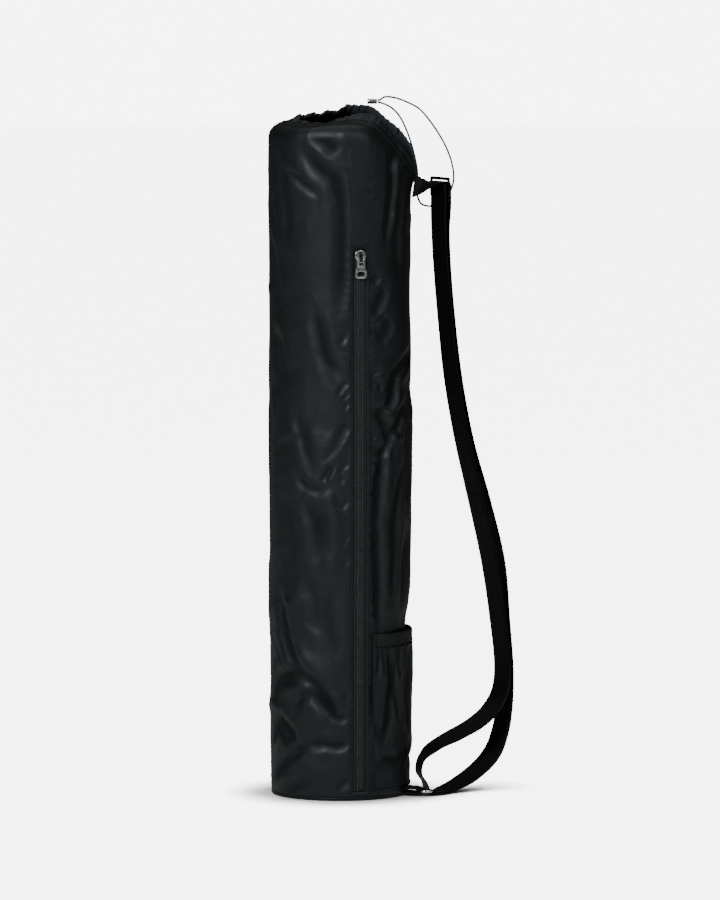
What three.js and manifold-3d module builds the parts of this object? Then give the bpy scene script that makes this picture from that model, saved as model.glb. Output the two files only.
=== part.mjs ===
// A drawstring bag for a rolled exercise mat: a cloth tube with a ruffled drawstring mouth, a long
// front zip, an elastic side pocket and one long shoulder strap that runs from the neck to the base.
// Millimetres, +Z up. The origin is the middle of the base on the floor, +X is the strap's side and
// -Y the front. Azimuths are degrees about +Z from +X, so the front is at -90.
import * as THREE from "three";
import { mergeVertices } from "three/addons/utils/BufferGeometryUtils.js";
import Module from "manifold-3d";

const wasm = await Module();
wasm.setup();

const rad = THREE.MathUtils.degToRad;

// Overall sizes
const bagRadius = 73.2;
const bagHeight = 694;
const clothWall = 1.4;
const gap = 0.3;
const aroundColumns = 64;

// Base and shoulder
const baseThickness = 2.5;
const baseInset = 0.6;
const baseEdgeRound = 0.8;
const baseTopEdge = 1.6;
const baseSegments = 48;
const shoulderRound = 7;

// Mouth: an ellipse above the shoulder, moved towards the strap's side
const mouthHalfLength = 62;
const mouthHalfWidth = 40;
const mouthShift = 18;
const mouthShiftBack = 3;
const neckShare = 0.5;
const hemThickness = 2.6;
const ruffleCount = 16;
const ruffleDepth = 2;
const ruffleDrift = 1.2;
const neckArch = 2;
const hemSeam = 0.48;

// Zip
const zipAzimuth = -73.3;
const slotWidth = 14.5;
const slotBottom = 9.4;
const slotTop = 572;
const tapeWidth = 26;
const tapeThickness = 0.9;
const tapeOverrun = 5;
const tapeClearance = 0.6;
const flatBesideZip = 5;
const foldsFullFrom = 13;
const coilWidth = 5.6;
const coilThickness = 1.5;
const sliderWidth = 11.8;
const sliderLength = 13.4;
const sliderThickness = 2.4;
const sliderBelowSlotTop = 7.4;
const sliderTailShare = 0.62;
const sliderShoulderShare = 0.86;
const sliderNoseShare = 0.35;
const sliderWidestShare = 0.2;
const bridgeWidth = 2.4;
const bridgeBar = 0.9;
const bridgeClear = 2.7;
const bridgeSpan = 10.4;
const bridgeRoot = 0.5;
const bridgeCorner = 0.7;
const pullLength = 20;
const pullTopWidth = 9;
const pullEndWidth = 12.2;
const pullEndHeight = 9.6;
const pullEndCorner = 3.6;
const pullThickness = 1.3;
const pullCrossbar = 1.4;
const pullTaper = 1.6;
const pullHangs = 0.5;
const pullSlotWidth = 3.6;
const pullSlotLength = 4.6;
const pullHoleWidth = 7.8;
const pullHoleHeight = 4.6;
const pullHoleMargin = 2.3;

// Side pocket and its elastic band
const pocketColumns = 20;
const pocketHeight = 158;
const pocketSlack = 5.9;
const pocketTopDraw = 0.06;
const pocketFullShare = 0.25;
const pocketDrawShare = 0.6;
const pocketSquareness = 0.7;
const pocketGather = 0.9;
const pocketGathers = 7;
const pocketDent = 5.2;
const pocketDentAzimuth = -6;
const pocketDentHalfAngle = 62;
const pocketDentFade = 42;
const pocketDentAbove = 6;
const bandHeight = 14.5;
const bandThickness = 2.2;

// Strap and its fittings
const webWidth = 25;
const webThickness = 1.5;
const ringOut = 17;
const ringAzimuth = -15;
const ringHeading = rad(15);
const ringWire = 3;
const ringHoleWidth = 7.4;
const ringBarClearance = 1;
const ringLift = 4;
const ringCorner = 1.8;
const strapReach = 83;
const strapDepth = 71.5;
const strapPlanPower = 1.15;
const glideHeight = 633;
const glideReachShare = 0.2;
const glideBar = 3.2;
const glideSlot = 5.2;
const glideThickness = 2.4;
const glideSide = 2.5;
const glideEndClearance = 0.5;
const glideCorner = 2;
const strapEndTail = 16;
const legClearance = 1.2;
const crossClearance = 0.78;
const tabAzimuth = -10;
const tabSeamShare = 0.45;
const tabClearance = 0.3;
const ringTabClearance = 0.8;

// Drawcord and its stopper
const cordDiameter = 2.2;
const cordSides = 8;
const cordSteps = 64;
const stopperLength = 10.4;
const stopperRadius = 2.9;
const stopperEdge = 0.7;
const stopperSides = 16;
const stopperAzimuth = 76;
const cordEndsApart = 1.2;

// Radius of the tube along its height, as shares of bagHeight and bagRadius
const bagSections = [
  // [height share, radius share]
  [0, 0.978],
  [0.02, 0.99],
  [0.2, 0.99],
  [0.3, 0.996],
  [0.38, 1.007],
  [0.46, 1.022],
  [0.56, 1.024],
  [0.65, 1.008],
  [0.73, 0.998],
  [0.84, 1.002],
  [0.9, 1.014],
  [1, 1.012],
];

// Where the tube's wall turns in, round the bag, as shares of bagHeight
const shoulderHeights = [
  // [azimuth, height share]
  [-180, 1],
  [-135, 1.002],
  [-95, 1.004],
  [-70, 0.998],
  [-52, 0.972],
  [-30, 0.935],
  [0, 0.9],
  [30, 0.935],
  [60, 0.985],
  [90, 1.006],
  [135, 1.004],
  [180, 1],
];

// The rim of the mouth, round its own centre: it hangs down towards the strap's side
const rimHeights = [
  // [azimuth, height share]
  [-180, 1.012],
  [-140, 1.009],
  [-118, 1.008],
  [-99, 1.02],
  [-74, 1.022],
  [-60, 1.002],
  [-37, 0.972],
  [0, 0.938],
  [35, 0.985],
  [52, 1.001],
  [70, 1.022],
  [90, 1.031],
  [118, 1.02],
  [145, 1.017],
  [180, 1.012],
];

// How strongly the hem is ruffled round the mouth, as a share of ruffleDepth
const ruffleShares = [
  // [azimuth, share]
  [-180, 0.7],
  [-120, 0.45],
  [-80, 0.8],
  [-45, 0.25],
  [0, 0],
  [40, 0.3],
  [80, 1],
  [150, 1],
  [180, 0.7],
];

// Folds and dents of the cloth: straight strokes on the unrolled tube
const foldStrokes = [
  // [from azimuth, from height share, to azimuth, to height share, half width, depth]
  [-122, 0.972, -94, 0.928, 13, 3.4],
  [-94, 0.928, -88, 0.752, 10, 2.4],
  [-141, 0.94, -107, 0.904, 9, 2],
  [-38, 0.97, -46, 0.869, 10, 3.6],
  [-107, 0.704, -90, 0.633, 12, 3],
  [-10, 0.655, -58, 0.583, 14, 3.6],
  [-32, 0.577, -57, 0.52, 13, 3.4],
  [-56, 0.513, -58, 0.35, 11, 4.2],
  [-58, 0.35, -55, 0.262, 11, 3.6],
  [-30, 0.491, -40, 0.36, 12, 2.4],
  [-96, 0.501, -127, 0.47, 12, 2.6],
  [-128, 0.584, -116, 0.513, 12, 2.2],
  [-139, 0.235, -92, 0.126, 13, 3],
  [-161, 0.152, -124, 0.182, 12, 2],
  [-154, 0.04, -92, 0.084, 13, 2.2],
  [-48, 0.215, -52, 0.083, 9, 2.4],
  [-170, 0.62, -176, 0.38, 16, 2],
  [150, 0.8, 128, 0.55, 18, 3],
  [95, 0.9, 112, 0.66, 16, 2.6],
  [60, 0.66, 84, 0.42, 18, 3],
  [130, 0.42, 102, 0.22, 16, 2.4],
  [24, 0.86, 34, 0.6, 15, 2.6],
];

// The inner strand, from the strap's buckle down to the ring
const innerStrand = [
  // [share of glideHeight, share of strapReach, tilt of the web]
  [0.93, 0.183, 0],
  [0.878, 0.206, 0],
  [0.779, 0.27, 0],
  [0.679, 0.353, 0],
  [0.579, 0.488, 0],
  [0.478, 0.662, 0],
  [0.376, 0.83, 0],
  [0.276, 0.944, 0],
  [0.196, 1.003, 0],
  [0.158, 0.97, 6],
  [0.131, 0.855, 12],
  [0.11, 0.66, 15],
  [0.0938, 0.39, 15],
  [0.078, 0.12, 10],
  [0.06, -0.03, 4],
  [0.038, -0.06, 0],
];

// The outer strand, from the ring up to the strap's buckle
const outerStrand = [
  // [share of glideHeight, share of strapReach, tilt of the web]
  [0.0052, 0.26, 6],
  [0.0231, 0.58, 15],
  [0.0556, 0.862, 15],
  [0.092, 0.975, 8],
  [0.13, 1.022, 2],
  [0.19, 1.036, 0],
  [0.276, 0.99, 0],
  [0.376, 0.925, 0],
  [0.478, 0.745, 0],
  [0.579, 0.535, 0],
  [0.679, 0.392, 0],
  [0.779, 0.3, 0],
  [0.878, 0.24, 0],
  [0.93, 0.228, 0],
];

// The drawcord's free loop, from the stopper out past the strap and back behind the bag
const cordRoute = [
  [47, 44, 722.5],
  [59.5, 44.5, 721],
  [70.3, 43, 717],
  [81.7, 41, 711],
  [90, 39, 702.5],
  [98, 35, 692],
  [106, 31, 679.5],
  [111.8, 27, 668],
  [115.8, 23, 657],
  [118, 19, 645],
  [117.6, 15, 635],
  [114, 13.5, 625.5],
  [107, 14, 616],
  [99, 15, 611.5],
  [91, 16.5, 610.8],
  [84.5, 18.5, 613],
  [81, 22, 620],
  [81, 27, 633],
  [80, 32, 650],
  [75.5, 37, 670],
  [69, 41.5, 689],
  [63, 44, 701],
  [57, 45, 708.5],
  [50, 44.5, 713.5],
];

const vec = (x, y, z) => new THREE.Vector3(x, y, z);
const smooth = (x, from, to) => THREE.MathUtils.smoothstep(x, from, to);

// Smooth value of a table's second column at x; the table's rows rise in x.
function valueAt(rows, x) {
  const last = rows.length - 1;
  let i = 0;
  while (i < last - 1 && x > rows[i + 1][0]) i += 1;
  const slope = (k) => {
    const a = rows[Math.max(k - 1, 0)];
    const b = rows[Math.min(k + 1, last)];
    return (b[1] - a[1]) / (b[0] - a[0]);
  };
  const run = rows[i + 1][0] - rows[i][0];
  const t = THREE.MathUtils.clamp((x - rows[i][0]) / run, 0, 1);
  const rise = rows[i + 1][1] - rows[i][1];
  const start = slope(i) * run;
  const end = slope(i + 1) * run;
  return rows[i][1] + t * (start + t * (3 * rise - 2 * start - end + t * (start + end - 2 * rise)));
}

// An azimuth brought into -180 to 180.
function wrapped(azimuth) {
  return THREE.MathUtils.euclideanModulo(azimuth + 180, 360) - 180;
}

// A closed body from a grid of outer and inner points. Cells that keep(row, column) refuses are
// holes, and every free edge is closed between the two skins.
function shellGeometry(outer, inner, closedRound, keep = () => true) {
  const rows = outer.length;
  const columns = outer[0].length;
  const points = [...outer.flat(), ...inner.flat()];
  const cellColumns = closedRound ? columns : columns - 1;
  const at = (row, column) => row * columns + (column % columns);
  const kept = (row, column) => {
    if (row < 0 || row > rows - 2) return false;
    if (!closedRound && (column < 0 || column > cellColumns - 1)) return false;
    return keep(row, (column + cellColumns) % cellColumns);
  };
  const skin = rows * columns;
  const faces = [];
  for (let row = 0; row < rows - 1; row += 1) {
    for (let column = 0; column < cellColumns; column += 1) {
      if (!kept(row, column)) continue;
      const a = at(row, column);
      const b = at(row, column + 1);
      const c = at(row + 1, column + 1);
      const d = at(row + 1, column);
      faces.push(a, b, c, a, c, d);
      faces.push(a + skin, c + skin, b + skin, a + skin, d + skin, c + skin);
      const edges = [
        [a, b, row - 1, column],
        [b, c, row, column + 1],
        [c, d, row + 1, column],
        [d, a, row, column - 1],
      ];
      for (const [p, q, nextRow, nextColumn] of edges) {
        if (kept(nextRow, nextColumn)) continue;
        faces.push(q, p, p + skin, q, p + skin, q + skin);
      }
    }
  }
  const geometry = new THREE.BufferGeometry().setFromPoints(points);
  geometry.setIndex(faces);
  geometry.computeVertexNormals();
  return geometry;
}

// The manifold solid of a closed geometry, and a geometry from such a solid.
function solidOf(geometry) {
  const bare = geometry.clone();
  bare.deleteAttribute("normal");
  bare.deleteAttribute("uv");
  const merged = mergeVertices(bare, 1e-4);
  const mesh = new wasm.Mesh({
    numProp: 3,
    vertProperties: merged.attributes.position.array,
    triVerts: new Uint32Array(merged.index.array),
  });
  return new wasm.Manifold(mesh);
}

function geometryOf(solid) {
  const mesh = solid.getMesh();
  const geometry = new THREE.BufferGeometry();
  geometry.setAttribute("position", new THREE.BufferAttribute(mesh.vertProperties, 3));
  geometry.setIndex(new THREE.BufferAttribute(mesh.triVerts, 1));
  geometry.computeVertexNormals();
  return geometry;
}

// A named mesh with its own plain material.
function piece(name, geometry, color, roughness, metalness) {
  const material = new THREE.MeshStandardMaterial({ color, roughness, metalness });
  const mesh = new THREE.Mesh(geometry, material);
  mesh.name = name;
  return mesh;
}

const cloth = (name, geometry) => piece(name, geometry, 0x24282a, 0.7, 0);
const web = (name, geometry) => piece(name, geometry, 0x1c1f22, 0.65, 0);
const metal = (name, geometry) => piece(name, geometry, 0xc8cacc, 0.25, 1);

// Columns round the bag: two lie on the edges of the zip's slot, and the rest are evenly spaced.
const slotAngle = THREE.MathUtils.radToDeg(slotWidth / bagRadius);
const columnStep = (360 - slotAngle) / (aroundColumns - 1);
const columnAzimuth = (column) => zipAzimuth + slotAngle / 2 + column * columnStep;
const columnAzimuths = Array.from({ length: aroundColumns }, (_, column) => columnAzimuth(column));
const slotColumn = aroundColumns - 1;

// Evenly spaced values after from, up to to.
const stepsTo = (from, to, count) => Array.from({ length: count }, (_, i) => from + ((to - from) * (i + 1)) / count);

// Heights of the rows of the wall: those up to the slot's top are level, the rest follow the shoulder.
const wallBottom = baseThickness + gap;
const pocketRows = stepsTo(slotBottom, pocketHeight, 5);
const bandBottom = pocketHeight + gap;
const bandTop = bandBottom + bandHeight;
const levelRows = [wallBottom, slotBottom, ...pocketRows, bandBottom, bandTop, ...stepsTo(bandTop, slotTop, 10)];
const risingShares = stepsTo(0, 1, 3);
const cornerShares = [0.08, 0.17, 0.26];

// Depth of the folds at a place on the wall, with flat cloth beside the zip.
function foldDepth(azimuth, height) {
  const share = height / bagHeight;
  let depth = 0;
  for (const [azimuthA, shareA, azimuthB, shareB, halfWidth, strokeDepth] of foldStrokes) {
    const ax = rad(wrapped(azimuthA - azimuth)) * bagRadius;
    const bx = ax + rad(azimuthB - azimuthA) * bagRadius;
    const ay = (shareA - share) * bagHeight;
    const by = (shareB - share) * bagHeight;
    const lengthSquared = (bx - ax) ** 2 + (by - ay) ** 2;
    const t = THREE.MathUtils.clamp(-(ax * (bx - ax) + ay * (by - ay)) / lengthSquared, 0, 1);
    const distance = Math.hypot(ax + t * (bx - ax), ay + t * (by - ay));
    depth += strokeDepth * Math.exp(-((distance / halfWidth) ** 2));
  }
  const besideZip = Math.abs(wrapped(azimuth - zipAzimuth)) - slotAngle / 2;
  return depth * smooth(besideZip, flatBesideZip, foldsFullFrom);
}

// The wall is flatter behind the pocket, which keeps the pouch open.
function pocketDentAt(azimuth, height) {
  const across = Math.min(Math.abs(wrapped(azimuth - pocketDentAzimuth)) / pocketDentHalfAngle, 1);
  const top = bandTop + pocketDentAbove;
  const fade = smooth(height, 0, pocketDentFade) * (1 - smooth(height, top, top + pocketDentFade));
  return pocketDent * 0.5 * (1 + Math.cos(Math.PI * across)) * fade;
}

function plainRadius(height) {
  return bagRadius * valueAt(bagSections, height / bagHeight);
}

function wallRadius(azimuth, height) {
  return plainRadius(height) - foldDepth(azimuth, height) - pocketDentAt(azimuth, height);
}

function wallPoint(azimuth, height) {
  const radius = wallRadius(azimuth, height);
  return vec(radius * Math.cos(rad(azimuth)), radius * Math.sin(rad(azimuth)), height);
}

const shoulderHeight = (azimuth) => bagHeight * valueAt(shoulderHeights, wrapped(azimuth));

// The top of the cloth, from the wall (share 0) over the shoulder to the rim of the mouth (share 1).
function topPoint(azimuth, share) {
  const corner = wallPoint(azimuth, shoulderHeight(azimuth) - shoulderRound);
  const below = corner.clone();
  corner.z += shoulderRound;
  const rim = vec(
    mouthShift + mouthHalfLength * Math.cos(rad(azimuth)),
    mouthShiftBack + mouthHalfWidth * Math.sin(rad(azimuth)),
    bagHeight * valueAt(rimHeights, wrapped(azimuth)),
  );
  const turned = corner.clone().addScaledVector(rim.clone().sub(corner).normalize(), shoulderRound);
  const cornerShare = cornerShares[cornerShares.length - 1];
  if (share < cornerShare) {
    const t = share / cornerShare;
    const low = below.lerp(corner, t);
    const high = corner.lerp(turned, t);
    return low.lerp(high, t);
  }
  const t = (share - cornerShare) / (1 - cornerShare);
  const point = turned.lerp(rim, t);
  point.z += neckArch * Math.sin(Math.PI * t);
  return point;
}

// Outward normal of a surface given as a function of two numbers.
function normalOf(surface, u, v) {
  const du = 0.4;
  const dv = 0.004;
  const around = surface(u + du, v).sub(surface(u - du, v));
  const along = surface(u, v + dv).sub(surface(u, v - dv));
  return around.cross(along).normalize();
}

// How far the gathers push the cloth of the mouth out of its plain shape.
function ruffleAt(azimuth, share) {
  const strength = ruffleDepth * valueAt(ruffleShares, wrapped(azimuth)) * smooth(share, 0.1, 1);
  return strength * Math.sin(ruffleCount * rad(azimuth) + ruffleDrift * Math.sin(3 * rad(azimuth)));
}

function ruffledPoint(azimuth, share) {
  return topPoint(azimuth, share).addScaledVector(normalOf(topPoint, azimuth, share), ruffleAt(azimuth, share));
}

// Length of the way from the shoulder to the rim, for clearances along it.
const topLength = (azimuth) => topPoint(azimuth, neckShare).distanceTo(topPoint(azimuth, 1)) / (1 - neckShare);

function wallRow(heightOf) {
  const outer = columnAzimuths.map((azimuth) => wallPoint(azimuth, heightOf(azimuth)));
  const inner = columnAzimuths.map((azimuth) => {
    const height = heightOf(azimuth);
    const radius = wallRadius(azimuth, height) - clothWall;
    return vec(radius * Math.cos(rad(azimuth)), radius * Math.sin(rad(azimuth)), height);
  });
  return { outer, inner };
}

function topRow(shareOf, thickness) {
  const outer = columnAzimuths.map((azimuth) => ruffledPoint(azimuth, shareOf(azimuth)));
  const inner = columnAzimuths.map((azimuth, column) => {
    const normal = normalOf(ruffledPoint, azimuth, shareOf(azimuth));
    return outer[column].clone().addScaledVector(normal, -thickness);
  });
  return { outer, inner };
}

function makeBagBody() {
  const wallTop = (azimuth) => shoulderHeight(azimuth) - shoulderRound;
  const rows = [
    ...levelRows.map((height) => wallRow(() => height)),
    ...risingShares.map((share) => wallRow((azimuth) => slotTop + (wallTop(azimuth) - slotTop) * share)),
    ...cornerShares.map((share) => topRow(() => share, clothWall)),
    topRow((azimuth) => neckShare - hemSeam / topLength(azimuth), clothWall),
  ];
  const slotRows = [levelRows.indexOf(slotBottom), levelRows.length - 1];
  const keep = (row, column) => column !== slotColumn || row < slotRows[0] || row >= slotRows[1];
  return cloth("bag_body", shellGeometry(rows.map((r) => r.outer), rows.map((r) => r.inner), true, keep));
}

function makeMouthHem() {
  const shares = [neckShare, (1 + neckShare) / 2, 1];
  const rows = shares.map((share) => topRow(() => share, hemThickness));
  return cloth("mouth_hem", shellGeometry(rows.map((r) => r.outer), rows.map((r) => r.inner), true));
}

function makeBasePanel() {
  const radius = plainRadius(0) - baseInset;
  const profile = [
    new THREE.Vector2(0, 0),
    new THREE.Vector2(radius - baseEdgeRound, 0),
    new THREE.Vector2(radius, baseEdgeRound),
    new THREE.Vector2(radius, baseThickness - baseEdgeRound),
    new THREE.Vector2(radius - baseTopEdge, baseThickness),
    new THREE.Vector2(0, baseThickness),
  ];
  const geometry = new THREE.LatheGeometry(profile, baseSegments);
  geometry.rotateX(Math.PI / 2);
  return cloth("base_panel", geometry);
}

// A strip behind or in the zip's slot, between two depths inside the plain wall.
function zipStrip(width, outerDepth, thickness, heights) {
  const halfAngle = THREE.MathUtils.radToDeg(width / 2 / bagRadius);
  const azimuths = [-1, -0.5, 0, 0.5, 1].map((share) => zipAzimuth + share * halfAngle);
  const grid = (depth) =>
    heights.map((height) =>
      azimuths.map((azimuth) => {
        const radius = plainRadius(height) - depth;
        return vec(radius * Math.cos(rad(azimuth)), radius * Math.sin(rad(azimuth)), height);
      }),
    );
  return shellGeometry(grid(outerDepth), grid(outerDepth + thickness), false);
}

const tapeDepth = clothWall + tapeClearance;
const coilDepth = tapeDepth - gap - coilThickness;
const slotHeights = levelRows.filter((height) => height >= slotBottom);

function makeZipperTape() {
  const heights = [slotBottom - tapeOverrun, ...slotHeights, slotTop + tapeOverrun];
  return cloth("zipper_tape", zipStrip(tapeWidth, tapeDepth, tapeThickness, heights));
}

function makeZipperCoil() {
  const heights = [slotBottom + gap, ...slotHeights.slice(1, -1), slotTop - gap];
  return cloth("zipper_coil", zipStrip(coilWidth, coilDepth, coilThickness, heights));
}

// The frame of the zip's slider: x round the bag, y up, z out of the bag, origin on the coil.
const sliderHeight = slotTop - sliderBelowSlotTop;
const sliderFoot = plainRadius(sliderHeight) - coilDepth + gap;
const hingeOut = sliderThickness + bridgeClear / 2;
const hingeUp = bridgeBar + pullHangs + pullCrossbar / 2 - bridgeSpan / 2;

function makeSliderFrame() {
  const frame = new THREE.Group();
  const out = vec(Math.cos(rad(zipAzimuth)), Math.sin(rad(zipAzimuth)), 0);
  const up = vec(0, 0, 1);
  const round = up.clone().cross(out);
  frame.applyMatrix4(new THREE.Matrix4().makeBasis(round, up, out));
  frame.position.copy(out.multiplyScalar(sliderFoot));
  frame.position.z = sliderHeight;
  return frame;
}

function makeZipperSlider() {
  const halfWidth = sliderWidth / 2;
  const halfLength = sliderLength / 2;
  const plate = new THREE.Shape();
  plate.moveTo(-halfWidth * sliderTailShare, -halfLength);
  plate.lineTo(halfWidth * sliderTailShare, -halfLength);
  plate.lineTo(halfWidth, halfLength * sliderWidestShare);
  plate.lineTo(halfWidth * sliderShoulderShare, halfLength * sliderShoulderShare);
  plate.lineTo(halfWidth * sliderNoseShare, halfLength);
  plate.lineTo(-halfWidth * sliderNoseShare, halfLength);
  plate.lineTo(-halfWidth * sliderShoulderShare, halfLength * sliderShoulderShare);
  plate.lineTo(-halfWidth, halfLength * sliderWidestShare);
  const plateGeometry = new THREE.ExtrudeGeometry(plate, { depth: sliderThickness, bevelEnabled: false });
  const bridge = new THREE.Shape();
  const reach = bridgeClear + bridgeBar;
  const halfSpan = bridgeSpan / 2;
  bridge.moveTo(-halfSpan, -bridgeRoot);
  bridge.lineTo(-halfSpan + bridgeBar, -bridgeRoot);
  bridge.lineTo(-halfSpan + bridgeBar, bridgeClear);
  bridge.lineTo(halfSpan - bridgeBar, bridgeClear);
  bridge.lineTo(halfSpan - bridgeBar, -bridgeRoot);
  bridge.lineTo(halfSpan, -bridgeRoot);
  bridge.lineTo(halfSpan, reach - bridgeCorner);
  bridge.lineTo(halfSpan - bridgeCorner, reach);
  bridge.lineTo(-halfSpan + bridgeCorner, reach);
  bridge.lineTo(-halfSpan, reach - bridgeCorner);
  const bridgeGeometry = new THREE.ExtrudeGeometry(bridge, { depth: bridgeWidth, bevelEnabled: false });
  bridgeGeometry.translate(0, 0, -bridgeWidth / 2);
  bridgeGeometry.applyMatrix4(new THREE.Matrix4().makeBasis(vec(0, 1, 0), vec(0, 0, 1), vec(1, 0, 0)));
  bridgeGeometry.translate(0, 0, sliderThickness);
  const joined = solidOf(plateGeometry).add(solidOf(bridgeGeometry));
  return metal("zipper_slider", geometryOf(joined));
}

function makeZipPull() {
  const halfTop = pullTopWidth / 2;
  const halfEnd = pullEndWidth / 2;
  const top = pullCrossbar / 2;
  const bottom = top - pullLength;
  const endTop = bottom + pullEndHeight;
  const shape = new THREE.Shape();
  shape.moveTo(-halfTop, top);
  shape.lineTo(-halfTop, endTop + pullTaper);
  shape.lineTo(-halfEnd, endTop - pullTaper);
  shape.lineTo(-halfEnd, bottom + pullEndCorner);
  shape.absarc(-halfEnd + pullEndCorner, bottom + pullEndCorner, pullEndCorner, Math.PI, 1.5 * Math.PI, false);
  shape.absarc(halfEnd - pullEndCorner, bottom + pullEndCorner, pullEndCorner, 1.5 * Math.PI, 2 * Math.PI, false);
  shape.lineTo(halfEnd, endTop - pullTaper);
  shape.lineTo(halfTop, endTop + pullTaper);
  shape.lineTo(halfTop, top);
  const slot = new THREE.Path();
  const halfSlot = pullSlotWidth / 2;
  slot.moveTo(-halfSlot, -top);
  slot.lineTo(halfSlot, -top);
  slot.lineTo(halfSlot, -top - pullSlotLength);
  slot.lineTo(-halfSlot, -top - pullSlotLength);
  const hole = new THREE.Path();
  const holeRound = pullHoleHeight / 2;
  const holeSide = pullHoleWidth / 2 - holeRound;
  const holeMiddle = bottom + pullHoleMargin + holeRound;
  hole.absarc(holeSide, holeMiddle, holeRound, -0.5 * Math.PI, 0.5 * Math.PI, false);
  hole.absarc(-holeSide, holeMiddle, holeRound, 0.5 * Math.PI, 1.5 * Math.PI, false);
  shape.holes = [slot, hole];
  const options = { depth: pullThickness, bevelEnabled: false, curveSegments: 6 };
  const geometry = new THREE.ExtrudeGeometry(shape, options);
  geometry.translate(0, hingeUp, hingeOut - pullThickness / 2);
  return metal("zip_pull", geometry);
}

// Room between the bag and the inside of the pocket: none at the sewn edges.
function pocketRoom(across, height) {
  const rise = smooth(height, slotBottom, slotBottom + pocketFullShare * pocketHeight);
  const drawn = 1 - pocketTopDraw * smooth(height, pocketDrawShare * pocketHeight, pocketHeight);
  const belly = Math.sin(Math.PI * THREE.MathUtils.clamp(across, 0, 1)) ** pocketSquareness;
  return pocketSlack * belly * rise * drawn;
}

function pocketGatherAt(across, height) {
  const fade = smooth(height, pocketFullShare * pocketHeight, pocketHeight) * Math.sin(Math.PI * across);
  return pocketGather * fade * (0.5 + 0.5 * Math.sin(2 * Math.PI * pocketGathers * across));
}

// Points of the pocket or its band at a depth out from the bag's wall.
function pocketGrid(heights, depth, gathered) {
  return heights.map((height) =>
    Array.from({ length: pocketColumns + 1 }, (_, i) => {
      const azimuth = columnAzimuth(i + 1);
      const across = i / pocketColumns;
      const gather = gathered ? pocketGatherAt(across, height) : 0;
      const radius = wallRadius(azimuth, height) + gap + pocketRoom(across, height) + gather + depth;
      return vec(radius * Math.cos(rad(azimuth)), radius * Math.sin(rad(azimuth)), height);
    }),
  );
}

function makeSidePocket() {
  const heights = [slotBottom, ...pocketRows];
  return cloth("side_pocket", shellGeometry(pocketGrid(heights, clothWall, true), pocketGrid(heights, 0, true), false));
}

function makePocketBand() {
  const heights = [bandBottom, bandTop];
  return web("pocket_band", shellGeometry(pocketGrid(heights, bandThickness, false), pocketGrid(heights, 0, false), false));
}

// A flat band swept through stations, each a place and the direction of the band's width.
function ribbonGeometry(stations, width, thickness) {
  const outer = [];
  const inner = [];
  stations.forEach((station, i) => {
    const before = stations[Math.max(i - 1, 0)].place;
    const after = stations[Math.min(i + 1, stations.length - 1)].place;
    const run = after.clone().sub(before).normalize();
    const across = station.across.clone().normalize();
    const normal = across.clone().cross(run).normalize();
    const edge = (side, face) =>
      station.place
        .clone()
        .addScaledVector(across, (side * width) / 2)
        .addScaledVector(normal, (face * thickness) / 2);
    outer.push([edge(-1, 1), edge(1, 1)]);
    inner.push([edge(-1, -1), edge(1, -1)]);
  });
  return shellGeometry(outer, inner, false);
}

// Stations on a smooth line through the chosen ones, with one more halfway between each two.
function smoothStations(chosen) {
  const line = new THREE.CatmullRomCurve3(chosen.map((s) => s.place), false, "centripetal");
  const count = 2 * (chosen.length - 1);
  return Array.from({ length: count + 1 }, (_, i) => {
    const before = chosen[Math.floor(i / 2)];
    const after = chosen[Math.ceil(i / 2)];
    const across = before.across.clone().lerp(after.across, 0.5);
    return { place: line.getPoint(i / count), across };
  });
}

// The strap in plan: it leaves the ring and swings back behind the bag's side as it reaches out.
const ringCentre = vec(
  (bagRadius + ringOut) * Math.cos(rad(ringAzimuth)),
  (bagRadius + ringOut) * Math.sin(rad(ringAzimuth)),
  ringLift + ringWire / 2,
);

function strapHeading(share) {
  const clamped = Math.max(share, 0);
  const plan = Math.atan2(strapDepth * strapPlanPower * clamped ** (strapPlanPower - 1), strapReach);
  return THREE.MathUtils.lerp(ringHeading, plan, smooth(share, 0, glideReachShare));
}

function strapStation(heightShare, reachShare, tilt) {
  const back = strapDepth * Math.sign(reachShare) * Math.abs(reachShare) ** strapPlanPower;
  const place = vec(ringCentre.x + reachShare * strapReach, ringCentre.y + back, heightShare * glideHeight);
  const heading = strapHeading(reachShare);
  const level = Math.cos(rad(tilt));
  const across = vec(-Math.sin(heading) * level, Math.cos(heading) * level, Math.sin(rad(tilt)));
  return { place, across };
}

// Stations given in the upright plane through a fitting: out from it, up from it.
function fittingStation(centre, heading, out, up) {
  const place = centre.clone().add(vec(out * Math.cos(heading), out * Math.sin(heading), up));
  return { place, across: vec(-Math.sin(heading), Math.cos(heading), 0) };
}

const glideHeading = strapHeading(glideReachShare);
const glideCentre = strapStation(1, glideReachShare, 0).place;
const atGlide = (out, up) => fittingStation(glideCentre, glideHeading, out, up);
const atRing = (out, up) => fittingStation(ringCentre, ringHeading, out, up);

// The middle of a web that is bent round the corner of a bar keeps this far from the corner.
const bend = gap + webThickness / 2;
const legOut = glideThickness / 2 + bend;
const foldUp = glideBar / 2 + bend;
const outerLegOut = legOut + webThickness + legClearance;
const crossUp = foldUp + webThickness + crossClearance;
const ringEdge = ringHoleWidth / 2;
const ringUnder = ringWire / 2 + bend;
const strandJoint = ringEdge + 0.4 * ringWire;

// Three stations round a bar's corner, from beside the bar to above or below it.
function cornerStations(at, cornerOut, cornerUp, sideOut, sideUp) {
  const turns = [0, 45, 90].map(rad);
  return turns.map((turn) => at(
    cornerOut + sideOut * bend * Math.cos(turn),
    cornerUp + sideUp * bend * Math.sin(turn),
  ));
}

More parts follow.
